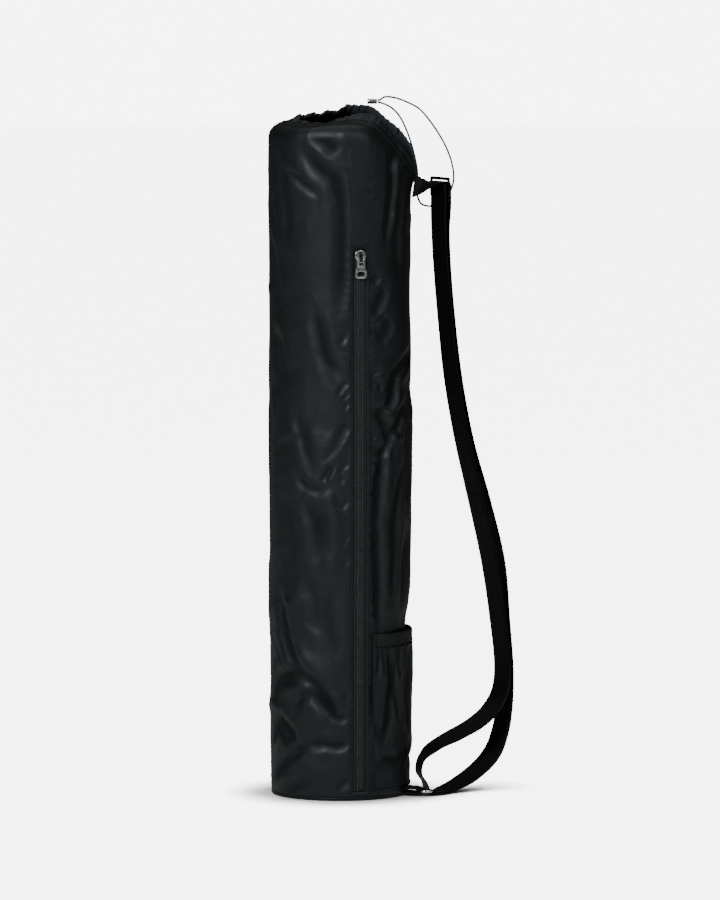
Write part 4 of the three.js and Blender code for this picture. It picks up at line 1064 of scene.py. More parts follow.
def wall_grid(azimuths):
    """The tube's outer points from the base to the neck's seam, and how many rows reach the window's top."""
    level = np.concatenate([
        np.linspace(WALL_BOTTOM, SLOT_BOTTOM, 3)[:-1],
        np.linspace(SLOT_BOTTOM, SLOT_TOP, 213),
    ])
    top = shoulder_height(azimuths) - SHOULDER_ROUND
    rising = SLOT_TOP + (top - SLOT_TOP)[None, :] * np.linspace(0, 1, RISING_ROWS + 1)[1:, None]
    heights = np.vstack([np.repeat(level[:, None], len(azimuths), axis=1), rising])
    wall = polar(wall_radius(azimuths[None, :], heights), azimuths[None, :], heights)
    bend = np.linspace(0, CORNER_SHARE, 7)[1:]
    neck = np.linspace(CORNER_SHARE, NECK_SHARE - 0.012, 13)[1:]
    upper = top_grid(azimuths, np.concatenate([bend, neck]))
    return np.vstack([wall, upper]), len(level)


def top_grid(azimuths, shares):
    """The gathered cloth above the wall, for every azimuth and share."""
    plain = top_point(azimuths[None, :], shares[:, None])
    normals = grid_normals(plain, True)
    return plain + normals * gathers(azimuths[None, :], shares[:, None])[..., None]


def cloth_map(points, azimuths):
    """Places on the cloth in millimetres: round the bag at its plain radius, and up along each column."""
    up = np.linalg.norm(np.diff(points, axis=0), axis=2).mean(axis=1)
    along = np.concatenate([[0], np.cumsum(up)])
    start = azimuths[0]
    around = np.radians((azimuths - start) % 360) * BAG_RADIUS
    return np.stack(np.meshgrid(around, along), axis=-1)


def make_tube():
    """The cloth tube with its window for the zip: radius is the section's less the creases."""
    azimuths, window_blocks = slot_columns()
    outer, level_rows = wall_grid(azimuths)
    inner = outer - grid_normals(outer, True) * (CLOTH_WALL + 0.4)
    keep = np.ones(((len(outer) - 1) // 2, len(azimuths) // 2), dtype=bool)
    keep[1:(level_rows - 1) // 2, :window_blocks] = False
    points, faces = shell(outer, inner, True, keep)
    uv = cloth_map(outer, azimuths)
    flat = np.vstack([uv.reshape(-1, 2), uv[::2, ::2].reshape(-1, 2)])
    # Painted shade: the creases' depth darkens the cloth's colour in the valleys; the inner skin gets a fifth
    # of the paler inner side, partly painted light
    depth = np.zeros(outer.shape[:2])
    upright = level_rows + RISING_ROWS
    depth[:upright] = tube_creases(azimuths[None, :], outer[:upright, :, 2])
    painted_shade_and_lining = smooth(depth, 0.4, 4.0)
    painted_shade_and_lining = np.concatenate([painted_shade_and_lining.ravel(), np.full(painted_shade_and_lining[::2, ::2].size, -0.2)])
    tube = new_piece(
        "cloth_tube", points, faces, finish_of("nylon"), uv=flat,
        uv_period=2 * math.pi * BAG_RADIUS, fold=painted_shade_and_lining,
    )
    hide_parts("bag_body")
    return tube


def channel_swell(share):
    """How far the drawstring's channel stands out: a bell across it."""
    return CHANNEL_SWELL * np.exp(-(((share - CHANNEL_MIDDLE) / CHANNEL_HALF) ** 2))


def make_mouth():
    """The gathered hem: a drawstring channel that swells below a rolled rim."""
    columns = settings_of().columns_round
    azimuths = np.arange(columns) * 360 / columns - 180
    rise = np.linspace(NECK_SHARE, 0.985, 25)
    outer = top_grid(azimuths, rise)
    normals = grid_normals(outer, True)
    channel = channel_swell(rise)
    outer = outer + normals * channel[:, None, None]
    thick = (1.7 + 1.3 * channel)[:, None, None]
    inner = outer - normals * thick
    run = unit(outer[-1] - outer[-3])
    middle = (outer[-1] + inner[-1]) / 2
    radius = np.linalg.norm(outer[-1] - inner[-1], axis=-1, keepdims=True) / 2
    for turn in np.radians([22.5, 45, 67.5, 90]):
        over = middle + run * radius * math.sin(turn)
        outer = np.concatenate([outer, (over + normals[-1] * radius * math.cos(turn))[None]])
        inner = np.concatenate([inner, (over - normals[-1] * radius * math.cos(turn))[None]])
    points, faces = shell(outer, inner, True)
    uv = cloth_map(outer, azimuths)
    flat = np.vstack([uv.reshape(-1, 2), uv[::2, ::2].reshape(-1, 2)])
    # The inner skin takes the paler inner side in full: partly its own tone, partly painted light on the
    # mouth's unlit inside
    sides = np.concatenate([np.zeros(outer.shape[0] * columns), np.full(uv[::2, ::2].size // 2, -1.0)])
    hem = new_piece(
        "mouth_channel", points, faces, finish_of("hem nylon painted paler"), uv=flat,
        uv_period=2 * math.pi * BAG_RADIUS, fold=sides,
    )
    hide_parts("mouth_hem")
    seam = plain_line_on_top(0.66, 0.9)
    add_stitches("mouth_stitching", [seam], pitch=3.0, length_share=0.6)
    return hem


def plain_line_on_top(share, lift):
    """A closed line round the neck at one share, and its outward normals."""
    azimuths = np.linspace(-180, 180, 361)
    shares = np.array([share - 0.02, share, share + 0.02])
    plain = top_point(azimuths[None, :], shares[:, None])
    normals = grid_normals(plain, False)
    gathered = plain + normals * gathers(azimuths[None, :], shares[:, None])[..., None]
    normals = grid_normals(gathered, False)
    return gathered[1] + normals[1] * (channel_swell(share) + lift * 0.2), normals[1]


def make_base():
    """The stiff base: a shallow dish of cloth with rounded edges, and the piped seam above it."""
    radius = float(plain_radius(0.0)) - 0.6
    edge = np.radians(np.linspace(-90, 0, 6))
    profile = [(0.02, 0.0), (radius * 0.4, 0.0), (radius * 0.8, 0.0)]
    profile += [(radius - 1 + math.cos(a), 1 + math.sin(a)) for a in edge]
    profile += [(radius, 1.7), (radius - 0.5, 2.25), (radius - 1.6, 2.5)]
    profile += [(radius * 0.8, 2.5), (radius * 0.4, 2.5), (0.02, 2.5)]
    points, faces = turned_solid(profile, 144)
    base = new_piece("base_cloth", points, faces, finish_of("pocket nylon"), uv=points[:, :2])
    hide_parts("base_panel")
    turn = np.linspace(-180, 180, 241)[:-1]
    seam_radius = wall_radius(turn, np.full_like(turn, 3.2)) - 0.3
    path = polar(seam_radius, turn, np.full_like(turn, 2.75))
    points, faces = round_tube(path, 0.75, 8, True, (0, 0, 1))
    along = np.repeat(np.radians(turn + 180) * BAG_RADIUS, 8)
    uv = np.stack([along, np.tile(np.arange(8) * 0.6, len(turn))], axis=1)
    new_piece("base_piping", points, faces, finish_of("nylon"), uv=uv)


POCKET_LEFT = ZIP_AZIMUTH + SLOT_ANGLE / 2 + (360 - SLOT_ANGLE) / 63
POCKET_RIGHT = ZIP_AZIMUTH + SLOT_ANGLE / 2 + 21 * (360 - SLOT_ANGLE) / 63

# Pleats and folds of the pocket: half width, depth, lip, then azimuth and height share of each point
POCKET_CREASES = (
    (4.6, 4.6, 0.55, (-49.5, 0.226), (-47, 0.205), (-44.6, 0.182), (-47.0, 0.150), (-48.6, 0.120),
     (-54, 0.084)),
    (3.4, 3.0, 0.55, (-39, 0.226), (-40.5, 0.200), (-42.0, 0.176), (-40, 0.150), (-38, 0.118)),
    (2.4, 2.4, 0.60, (-57.6, 0.227), (-57.0, 0.210), (-58.4, 0.186)),
    (2.4, 2.2, 0.60, (-53.6, 0.227), (-53.0, 0.212), (-52.0, 0.190)),
    (2.4, 2.0, 0.60, (-34, 0.227), (-35.4, 0.206), (-37, 0.186)),
    (2.8, 2.2, 0.60, (-27, 0.227), (-28, 0.204), (-26, 0.176), (-29, 0.14)),
    (4.0, 2.6, 0.55, (-18, 0.226), (-19, 0.19), (-22, 0.15), (-20, 0.10)),
    (2.8, 2.2, 0.60, (-9, 0.227), (-8, 0.20), (-10, 0.165)),
    (3.4, 2.6, 0.55, (1, 0.227), (2, 0.19), (0, 0.14)),
    (2.8, 2.2, 0.60, (11, 0.227), (10, 0.20), (13, 0.16)),
    (4.0, 2.8, 0.55, (21, 0.226), (22, 0.18), (25, 0.13), (22, 0.09)),
    (2.8, 2.2, 0.60, (31, 0.227), (31, 0.20), (29, 0.17)),
    (2.8, 2.0, 0.60, (40, 0.227), (40, 0.20), (41, 0.16)),
    (5.0, 1.8, 0.45, (-61, 0.118), (-58, 0.10), (-54, 0.094)),
    (6.0, 2.0, 0.40, (-60, 0.045), (-50, 0.06), (-38, 0.055), (-22, 0.07)),
    (7.0, 1.8, 0.40, (-20, 0.04), (0, 0.06), (20, 0.05)),
)

# Share of the depths above, then the pocket's layer of small creases: seed, strokes, size mm, depth mm
POCKET_CREASE_SHARE = 1.3
POCKET_CRUMPLE = (21, 300, 14, 0.3)


def pocket_radius(azimuth, height, folded=True):
    """Inside of the pocket: the plain wall plus a belly that is none at the sewn edges."""
    across = np.clip((azimuth - POCKET_LEFT) / (POCKET_RIGHT - POCKET_LEFT), 0, 1)
    belly = np.sin(np.pi * across) ** 0.7
    rise = smooth(height, SLOT_BOTTOM, SLOT_BOTTOM + 0.25 * POCKET_HEIGHT)
    drawn = 1 - 0.06 * smooth(height, 0.6 * POCKET_HEIGHT, POCKET_HEIGHT)
    room = POCKET_SLACK * belly * rise * drawn
    radius = plain_radius(height) - pocket_dent(azimuth, height) + 0.3 + room
    if folded:
        edge = np.minimum(smooth(across, 0, 0.03), 1 - smooth(across, 0.97, 1))
        folds = POCKET_CREASE_SHARE * crease_depth(azimuth, height, POCKET_CREASES)
        folds = folds + crumple(azimuth, height, *POCKET_CRUMPLE)
        gather = 1.5 * smooth(height, 0.45 * POCKET_HEIGHT, POCKET_HEIGHT) * belly
        radius = radius + gather * (0.5 + 0.5 * np.sin(2 * np.pi * 11 * across + 1.3 * np.sin(9 * across)))
        radius = radius - np.minimum(folds * edge, room * 0.8 + 0.5)
    return radius


def make_pocket():
    """The low side pocket: a cloth wall that bellies out from its sewn edges, pleated under its band."""
    azimuths = np.linspace(POCKET_LEFT, POCKET_RIGHT, 181)
    heights = np.linspace(SLOT_BOTTOM, POCKET_HEIGHT + 0.6, 111)
    grid_a, grid_h = np.meshgrid(azimuths, heights)
    radius = pocket_radius(grid_a, grid_h)
    outer = polar(radius + CLOTH_WALL, grid_a, grid_h)
    inner = polar(radius, grid_a, grid_h)
    points, faces = shell(outer, inner, False)
    uv = np.stack([np.radians(grid_a) * BAG_RADIUS, grid_h], axis=-1)
    flat = np.vstack([uv.reshape(-1, 2), uv[::2, ::2].reshape(-1, 2)])
    # Painted shade: how far the folds sink the pocket darkens its colour in the valleys
    painted_shade_and_lining = smooth(pocket_radius(grid_a, grid_h, False) - radius, -1.5, 3.0)
    painted_shade_and_lining = np.concatenate([painted_shade_and_lining.ravel(), np.zeros(painted_shade_and_lining[::2, ::2].size)])
    pocket = new_piece(
        "pocket_cloth", points, faces, finish_of("pocket nylon"), uv=flat, fold=painted_shade_and_lining
    )
    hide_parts("side_pocket")
    heights = np.linspace(SLOT_BOTTOM + 2, POCKET_HEIGHT - 1, 80)
    edges = []
    for azimuth in (POCKET_LEFT + 1.1, POCKET_RIGHT - 1.1):
        radius = pocket_radius(azimuth + 0 * heights, heights) + CLOTH_WALL
        edges.append(seam_line(radius, azimuth, heights))
    turn = np.linspace(POCKET_LEFT + 1.1, POCKET_RIGHT - 1.1, 90)
    level = np.full_like(turn, SLOT_BOTTOM + 2)
    edges.append(seam_line(pocket_radius(turn, level) + CLOTH_WALL, turn, level))
    add_stitches("pocket_stitching", edges, pitch=3.0)
    return pocket


def make_band():
    """The elastic along the pocket's top: a rounded band drawn tight, tacked down at both ends."""
    azimuths = np.linspace(POCKET_LEFT, POCKET_RIGHT, 161)
    heights = np.linspace(BAND_BOTTOM, BAND_TOP, 17)
    grid_a, grid_h = np.meshgrid(azimuths, heights)
    across = (grid_h - BAND_BOTTOM) / (BAND_TOP - BAND_BOTTOM) * 2 - 1
    thick = 2.2 * (1 - 0.45 * np.abs(across) ** 8)
    pucker = 0.22 * np.sin(np.radians(grid_a) * 26 + 1.2 * np.sin(grid_a / 7)) * np.abs(across) ** 1.5
    radius = pocket_radius(grid_a, grid_h, False)
    outer = polar(radius + thick + pucker, grid_a, grid_h)
    inner = polar(radius + 0.1, grid_a, grid_h)
    points, faces = shell(outer, inner, False)
    uv = np.stack([np.radians(grid_a) * BAG_RADIUS, grid_h], axis=-1)
    flat = np.vstack([uv.reshape(-1, 2), uv[::2, ::2].reshape(-1, 2)])
    band = new_piece("pocket_elastic", points, faces, finish_of("elastic"), uv=flat)
    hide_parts("pocket_band")
    lines = []
    for azimuth in (POCKET_LEFT + 0.7, POCKET_LEFT + 2.2, POCKET_RIGHT - 2.2, POCKET_RIGHT - 0.7):
        level = np.linspace(BAND_BOTTOM + 1, BAND_TOP - 1, 12)
        radius = pocket_radius(azimuth + 0 * level, level, False) + 2.2
        lines.append(seam_line(radius, azimuth, level))
    turn = np.linspace(POCKET_LEFT + 1, POCKET_RIGHT - 1, 90)
    level = np.full_like(turn, BAND_BOTTOM + 1.6)
    lines.append(seam_line(pocket_radius(turn, level, False) + 2.1, turn, level))
    add_stitches("band_stitching", lines, pitch=2.2)
    return band


def add_stitches(name, lines, pitch=None, length_share=0.5, radius=0.38, finish="thread"):
    """Rows of stitches along lines, each a pair of its points and their outward directions."""
    pitch = pitch or settings_of().stitch_pitch / MM
    parts = [stitched(np.asarray(line), np.asarray(out), pitch, length_share, radius) for line, out in lines]
    points, faces = joined(parts)
    return new_piece(name, points, faces, finish_of(finish))


# The zip

def zip_point(depth, across, height):
    """A point in the zip's window: across millimetres round the bag from its middle, depth inside the wall."""
    azimuth = ZIP_AZIMUTH + np.degrees(np.asarray(across, float) / BAG_RADIUS)
    return polar(plain_radius(height) - depth, azimuth, height)


def make_zip_tape():
    """The tape behind the window: a thin curved strip, raised a little where the coil is sewn to it."""
    heights = np.linspace(SLOT_BOTTOM - 5, SLOT_TOP + 5, 201)
    across = np.linspace(-13, 13, 33)
    grid_x, grid_h = np.meshgrid(across, heights)
    rise = 0.18 * np.exp(-(((np.abs(grid_x) - 4.2) / 0.9) ** 2))
    outer = zip_point(2.0 - rise, grid_x, grid_h)
    inner = zip_point(2.9, grid_x, grid_h)
    points, faces = shell(outer, inner, False)
    uv = np.stack([grid_x, grid_h], axis=-1)
    flat = np.vstack([uv.reshape(-1, 2), uv[::2, ::2].reshape(-1, 2)])
    tape = new_piece("zip_tape_cloth", points, faces, finish_of("tape"), uv=flat)
    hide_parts("zipper_tape")
    return tape


def make_zip_coil():
    """The closed coil: two rows of domed teeth, each reaching in between two teeth of the other row."""
    pitch = settings_of().tooth_pitch / MM
    low, high = SLOT_BOTTOM + 1.2, SLOT_TOP - 1.4
    count = int((high - low) / pitch)
    share = np.array([-1, -0.8, 0.0, 0.75, 1])
    wide = np.array([0.62, 0.95, 1, 0.9, 0.35])
    turn = np.radians(np.linspace(-15, 195, 7))
    sections = np.stack([
        np.repeat((share * 1.75)[:, None], 7, axis=1),
        np.outer(wide, np.cos(turn)) * 0.40 * pitch,
        np.outer(wide, np.sin(turn)) * 0.92,
    ], axis=-1)
    tooth_points, tooth_faces = swept(sections)
    parts = []
    for side in (-1, 1):
        heights = low + (np.arange(count) + (0.5 if side > 0 else 0)) * pitch
        middle = zip_point(np.full(count, 1.2), side * 1.1 + np.zeros(count), heights)
        turn_at = np.radians(ZIP_AZIMUTH + np.degrees(side * 1.1 / BAG_RADIUS))
        out = np.tile([math.cos(turn_at), math.sin(turn_at), 0], (count, 1))
        round_way = np.tile([-math.sin(turn_at), math.cos(turn_at), 0], (count, 1)) * -side
        upward = np.cross(out, round_way)
        parts.append(repeated(tooth_points, tooth_faces, frames(middle, round_way, upward, out)))
    points, faces = joined(parts)
    coil = new_piece("zip_teeth", points, faces, finish_of("coil"))
    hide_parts("zipper_coil")
    heights = np.linspace(low, high, 300)
    lines = []
    for side in (-2.35, 2.35):
        lines.append((zip_point(0.42, side, heights), zip_point(0, side, heights) * (1, 1, 0)))
    add_stitches("coil_stitching", lines, pitch=2 * pitch, length_share=0.7, radius=0.2, finish="pale thread")
    return coil


def make_zip_stitching():
    """The stitching round the window: a row down each side past its top, and short rows across both ends."""
    lines = []
    heights = np.linspace(SLOT_BOTTOM - 4, SLOT_TOP + 14, 240)
    for azimuth in (ZIP_AZIMUTH - 7.9, ZIP_AZIMUTH + 8.1):
        radius = wall_radius(np.full_like(heights, azimuth), heights)
        lines.append(seam_line(radius, azimuth, heights))
    for height in (SLOT_TOP + 2.4, SLOT_TOP + 3.6, SLOT_BOTTOM - 4):
        turn = np.linspace(ZIP_AZIMUTH - 6.6, ZIP_AZIMUTH + 6.8, 24)
        level = np.full_like(turn, height)
        lines.append(seam_line(wall_radius(turn, level), turn, level))
    return add_stitches("zip_stitching", lines)


def slider_frame():
    """The zip slider's frame: x round the bag, y up, z out of it, the origin on the coil."""
    turn = math.radians(ZIP_AZIMUTH)
    out = Vector((math.cos(turn), math.sin(turn), 0))
    up = Vector((0, 0, 1))
    round_way = up.cross(out)
    foot = float(plain_radius(SLIDER_HEIGHT)) + SLIDER_PROUD
    place = Matrix.Identity(4)
    for row in range(3):
        place[row][0], place[row][1], place[row][2] = round_way[row], up[row], out[row]
        place[row][3] = (out * foot)[row]
    place[2][3] = SLIDER_HEIGHT
    return np.array(place)


def outline_piece(name, loops, thickness, bevel, place, material, body=BAG, lift=0.0):
    """A plate cut to flat outlines, its edges rounded: a filled curve made a mesh, then put in its place."""
    curve = bpy.data.curves.new(name, "CURVE")
    curve.dimensions = "2D"
    curve.fill_mode = "BOTH"
    curve.extrude = (thickness / 2 - bevel) * MM
    curve.bevel_depth = bevel * MM
    curve.bevel_resolution = 3
    curve.offset = -bevel * MM
    for loop in loops:
        spline = curve.splines.new("POLY")
        spline.points.add(len(loop) - 1)
        spline.points.foreach_set("co", [v for x, y in loop for v in (x * MM, y * MM, 0, 1)])
        spline.use_cyclic_u = True
    holder = bpy.data.objects.new(name + "_outline", curve)
    bpy.context.scene.collection.objects.link(holder)
    bpy.context.view_layer.update()
    mesh = bpy.data.meshes.new_from_object(holder.evaluated_get(bpy.context.evaluated_depsgraph_get()))
    bpy.data.objects.remove(holder)
    bpy.data.curves.remove(curve)
    mesh.name = name
    points = np.empty(len(mesh.vertices) * 3)
    mesh.vertices.foreach_get("co", points)
    points = points.reshape(-1, 3)
    points[:, 2] += lift * MM
    points = points @ place[:3, :3].T + place[:3, 3] * MM
    mesh.vertices.foreach_set("co", points.ravel())
    mesh.materials.clear()
    mesh.materials.append(material)
    tidy_mesh(mesh)
    obj = bpy.data.objects.new(name, mesh)
    bpy.context.scene.collection.objects.link(obj)
    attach(obj, body)
    return obj


def tidy_mesh(mesh, angle=40):
    """Doubles merged, faces turned outwards, and edges sharper than the angle kept sharp."""
    bm = bmesh.new()
    bm.from_mesh(mesh)
    bmesh.ops.remove_doubles(bm, verts=bm.verts, dist=1e-6)
    bmesh.ops.recalc_face_normals(bm, faces=bm.faces)
    for face in bm.faces:
        face.smooth = True
    for edge in bm.edges:
        edge.smooth = len(edge.link_faces) == 2 and edge.calc_face_angle(0) < math.radians(angle)
    bm.to_mesh(mesh)
    bm.free()
    mesh.update()


def arc(x, y, radius, start, end, steps=8):
    """Points on a circle from one angle to another, in degrees."""
    return [
        (x + radius * math.cos(math.radians(a)), y + radius * math.sin(math.radians(a)))
        for a in np.linspace(start, end, steps + 1)
    ]


def rounded_rectangle(half_x, half_y, corner_radius, steps, middle=0.0):
    """A rectangle's outline about a height, its corners quarter circles."""
    points = []
    for sx, sy, start in ((1, 1, 0), (-1, 1, 90), (-1, -1, 180), (1, -1, 270)):
        x, y = sx * (half_x - corner_radius), middle + sy * (half_y - corner_radius)
        points += arc(x, y, corner_radius, start, start + 90, steps)
    return points


def make_slider():
    """The zip's slider: two domed plates shaped like a shield, and a bridge arched over the pull's bar."""
    place = slider_frame()
    half, length, low = 5.9, 6.7, 1.2
    shield = [
        (half * math.cos(math.radians(a)), low + (length - low) * math.sin(math.radians(a)) ** 0.8)
        for a in np.linspace(0, 180, 25)
    ]
    shield += [(-half, -0.6), (-4.5, -3.0), (-3.75, -4.6), (-3.7, -length + 0.8), (-3.0, -length)]
    shield += [(3.0, -length), (3.7, -length + 0.8), (3.75, -4.6), (4.5, -3.0), (half, -0.6)]
    nickel = finish_of("nickel")
    top = outline_piece("slider_plate", [shield], 1.5, 0.55, place, nickel, lift=1.65)
    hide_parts("zipper_slider")
    inset = [(0.9 * x, 0.95 * y) for x, y in shield]
    outline_piece("slider_back", [inset], 1.0, 0.3, place, nickel, lift=0.5)
    turn = np.radians(np.linspace(180, 0, 25))
    reach = 5.0 * np.sign(np.cos(turn)) * np.abs(np.cos(turn)) ** 0.55
    arch = np.stack([np.zeros(25), reach, 1.9 + 3.6 * np.sin(turn) ** 0.45], axis=1)
    run = unit(np.gradient(arch, axis=0))
    normal = np.cross(run, (1.0, 0, 0))
    section = np.array([
        (-1.2, -0.2), (-1.0, -0.42), (1.0, -0.42), (1.2, -0.2),
        (1.2, 0.2), (1.0, 0.42), (-1.0, 0.42), (-1.2, 0.2),
    ])
    sections = arch[:, None] + section[None, :, :1] * np.array((1.0, 0, 0))
    sections = sections + normal[:, None] * section[None, :, 1:]
    points, faces = swept(sections)
    points = points @ place[:3, :3].T + place[:3, 3]
    # The bridge's near black is painted shadow, not a darker metal
    bridge = new_piece("slider_bridge", points, faces, finish_of("nickel painted in shade"))
    tidy_mesh(bridge.data)


def make_pull():
    """The pull: a flat tab with a window for the bridge and a wide oval hole in its rounded end."""
    place = slider_frame()
    hinge_up, hinge_out = -3.1, 3.75
    top, bottom = 0.7, 0.7 - 20
    side = [(4.2, top), (4.5, top - 0.4), (4.5, bottom + 11.6), (4.9, bottom + 10.6)]
    side += [(5.9, bottom + 8.4), (6.1, bottom + 7.2)]
    outline = [(-x, y) for x, y in side]
    outline += arc(-2.5, bottom + 3.6, 3.6, 180, 270) + arc(2.5, bottom + 3.6, 3.6, 270, 360)
    outline += side[::-1]
    window = [(-1.8, -0.7), (-1.8, -5.3), (1.8, -5.3), (1.8, -0.7)]
    hole = arc(1.65, bottom + 4.7, 2.55, -90, 90, 10) + arc(-1.65, bottom + 4.7, 2.55, 90, 270, 10)
    place = place.copy()
    place[:3, 3] += place[:3, 1] * hinge_up + place[:3, 2] * hinge_out
    nickel = finish_of("nickel")
    pull = outline_piece("pull_tab", [outline, window, hole], 1.3, 0.4, place, nickel, PULL)
    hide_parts("zip_pull")
    step = [(-3.1, -6.6), (-3.1, -8.2), (3.1, -8.2), (3.1, -6.6)]
    outline_piece("pull_step", [step], 1.8, 0.35, place, nickel, PULL)
    return pull


# Webbing

RING = np.array([
    (BAG_RADIUS + 17) * math.cos(math.radians(-15)), (BAG_RADIUS + 17) * math.sin(math.radians(-15)), 5.5,
])
RING_HEADING = math.radians(15)
GLIDE_HEIGHT = 633.0


def strap_heading(share):
    """Heading of the strap in plan: the slope of reach to the power 1.15, turned to the ring's near it."""
    share = max(share, 0.0)
    plan = math.atan2(71.5 * 1.15 * share**0.15, 83.0)
    return RING_HEADING + (plan - RING_HEADING) * float(smooth(share, 0, 0.2))


def strap_station(height, reach, tilt):
    """A station of the strap: its place, and the direction of its width."""
    back = 71.5 * math.copysign(abs(reach) ** 1.15, reach)
    heading = strap_heading(reach)
    level = math.cos(math.radians(tilt))
    place = (RING[0] + reach * 83.0, RING[1] + back, height * GLIDE_HEIGHT)
    return place, (-math.sin(heading) * level, math.cos(heading) * level, math.sin(math.radians(tilt)))


GLIDE_HEADING = strap_heading(0.2)
GLIDE = np.array(strap_station(1, 0.2, 0)[0])


def beside(centre, heading, out, up):
    """A station in the upright plane through a fitting: out from it and up from it."""
    place = (centre[0] + out * math.cos(heading), centre[1] + out * math.sin(heading), centre[2] + up)
    return place, (-math.sin(heading), math.cos(heading), 0.0)


def at_glide(out, up):
    """A station near the buckle."""
    return beside(GLIDE, GLIDE_HEADING, out, up)


def at_ring(out, up):
    """A station near the ring."""
    return beside(RING, RING_HEADING, out, up)


BEND = 0.3 + WEB_THICKNESS / 2
LEG_OUT = 1.2 + BEND
FOLD_UP = 1.6 + BEND
OUTER_LEG_OUT = LEG_OUT + WEB_THICKNESS + 1.2
CROSS_UP = FOLD_UP + WEB_THICKNESS + 0.78
RING_EDGE = 3.7
RING_WIRE = 3.0
RING_UNDER = RING_WIRE / 2 + BEND
STRAND_JOINT = RING_EDGE + 0.4 * RING_WIRE


def corner(at, out, up, side_out, side_up):
    """Stations round a bar's corner, from beside the bar to above or below it."""
    return [
        at(out + side_out * BEND * math.cos(math.radians(a)), up + side_up * BEND * math.sin(math.radians(a)))
        for a in (0, 45, 90)
    ]


def web_line(stations, per_span=7):
    """Smooth middle line through chosen stations, and width directions that run evenly between them."""
    places = np.array([place for place, _ in stations])
    across = np.array([direction for _, direction in stations])
    line = through(places, per_span)
    at = np.linspace(0, len(stations) - 1, len(line))
    eased = np.floor(at) + smooth(at - np.floor(at), 0, 1)
    between = np.stack([np.interp(eased, np.arange(len(stations)), across[:, k]) for k in range(3)], axis=1)
    return line, unit(between)


def make_web(name, stations, node, width=WEB_WIDTH, per_span=7):
    """One length of webbing that stands for a node."""
    line, across = web_line(stations, per_span)
    widths = width if np.isscalar(width) else np.interp(np.linspace(0, 1, len(line)), *width)
    points, faces, uv = ribbon(line, across, widths, WEB_THICKNESS, 11)
    piece = new_piece(name, points, faces, finish_of("webbing"), uv=uv)
    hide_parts(node)
    return line, across


def make_strands():
    """The strap's two strands, with the fold round the buckle's middle bar and the turn under the ring."""
    fold = [at_glide(LEG_OUT, -16), at_glide(LEG_OUT, -6.4)]
    fold += corner(at_glide, 1.2, 1.6, 1, 1) + corner(at_glide, -1.2, 1.6, -1, 1)[::-1]
    fold += [at_glide(-LEG_OUT, -8), at_glide(-LEG_OUT, -22.4)]
    end = [at_ring(0.25 * RING_EDGE, 2.6 * RING_WIRE), at_ring(RING_EDGE - BEND, 0.7 * RING_WIRE)]
    end += corner(at_ring, RING_EDGE, -RING_WIRE / 2, -1, -1) + [at_ring(STRAND_JOINT, -RING_UNDER)]
    inner = fold + [strap_station(*row) for row in INNER_STRAND] + end
    make_web("inner_webbing", inner, "strap_inner")
    start = [at_ring(STRAND_JOINT + 0.3, -RING_UNDER), at_ring(STRAND_JOINT + 1.5, -RING_UNDER)]
    start += [at_ring(STRAND_JOINT + 7.5, -RING_UNDER)]
    finish = [at_glide(OUTER_LEG_OUT, -19.2), at_glide(OUTER_LEG_OUT, -6.4), at_glide(OUTER_LEG_OUT, 0)]
    finish += [at_glide(0.75 * OUTER_LEG_OUT, 0.85 * CROSS_UP), at_glide(0.4 * OUTER_LEG_OUT, CROSS_UP)]
    finish += [at_glide(-0.4 * LEG_OUT, CROSS_UP), at_glide(-LEG_OUT, CROSS_UP)]
    outer = start + [strap_station(*row) for row in OUTER_STRAND] + finish
    make_web("outer_webbing", outer, "strap_outer")
    tail = []
    for up in (-12.5, -15.0):
        across = np.array(at_glide(0, 0)[1])
        middle = np.array(at_glide(LEG_OUT + 0.75, up)[0])
        line = middle + np.linspace(-10.5, 10.5, 14)[:, None] * across
        tail.append((line, np.tile([math.cos(GLIDE_HEADING), math.sin(GLIDE_HEADING), 0], (14, 1))))
    add_stitches("strap_stitching", tail, pitch=2.4)


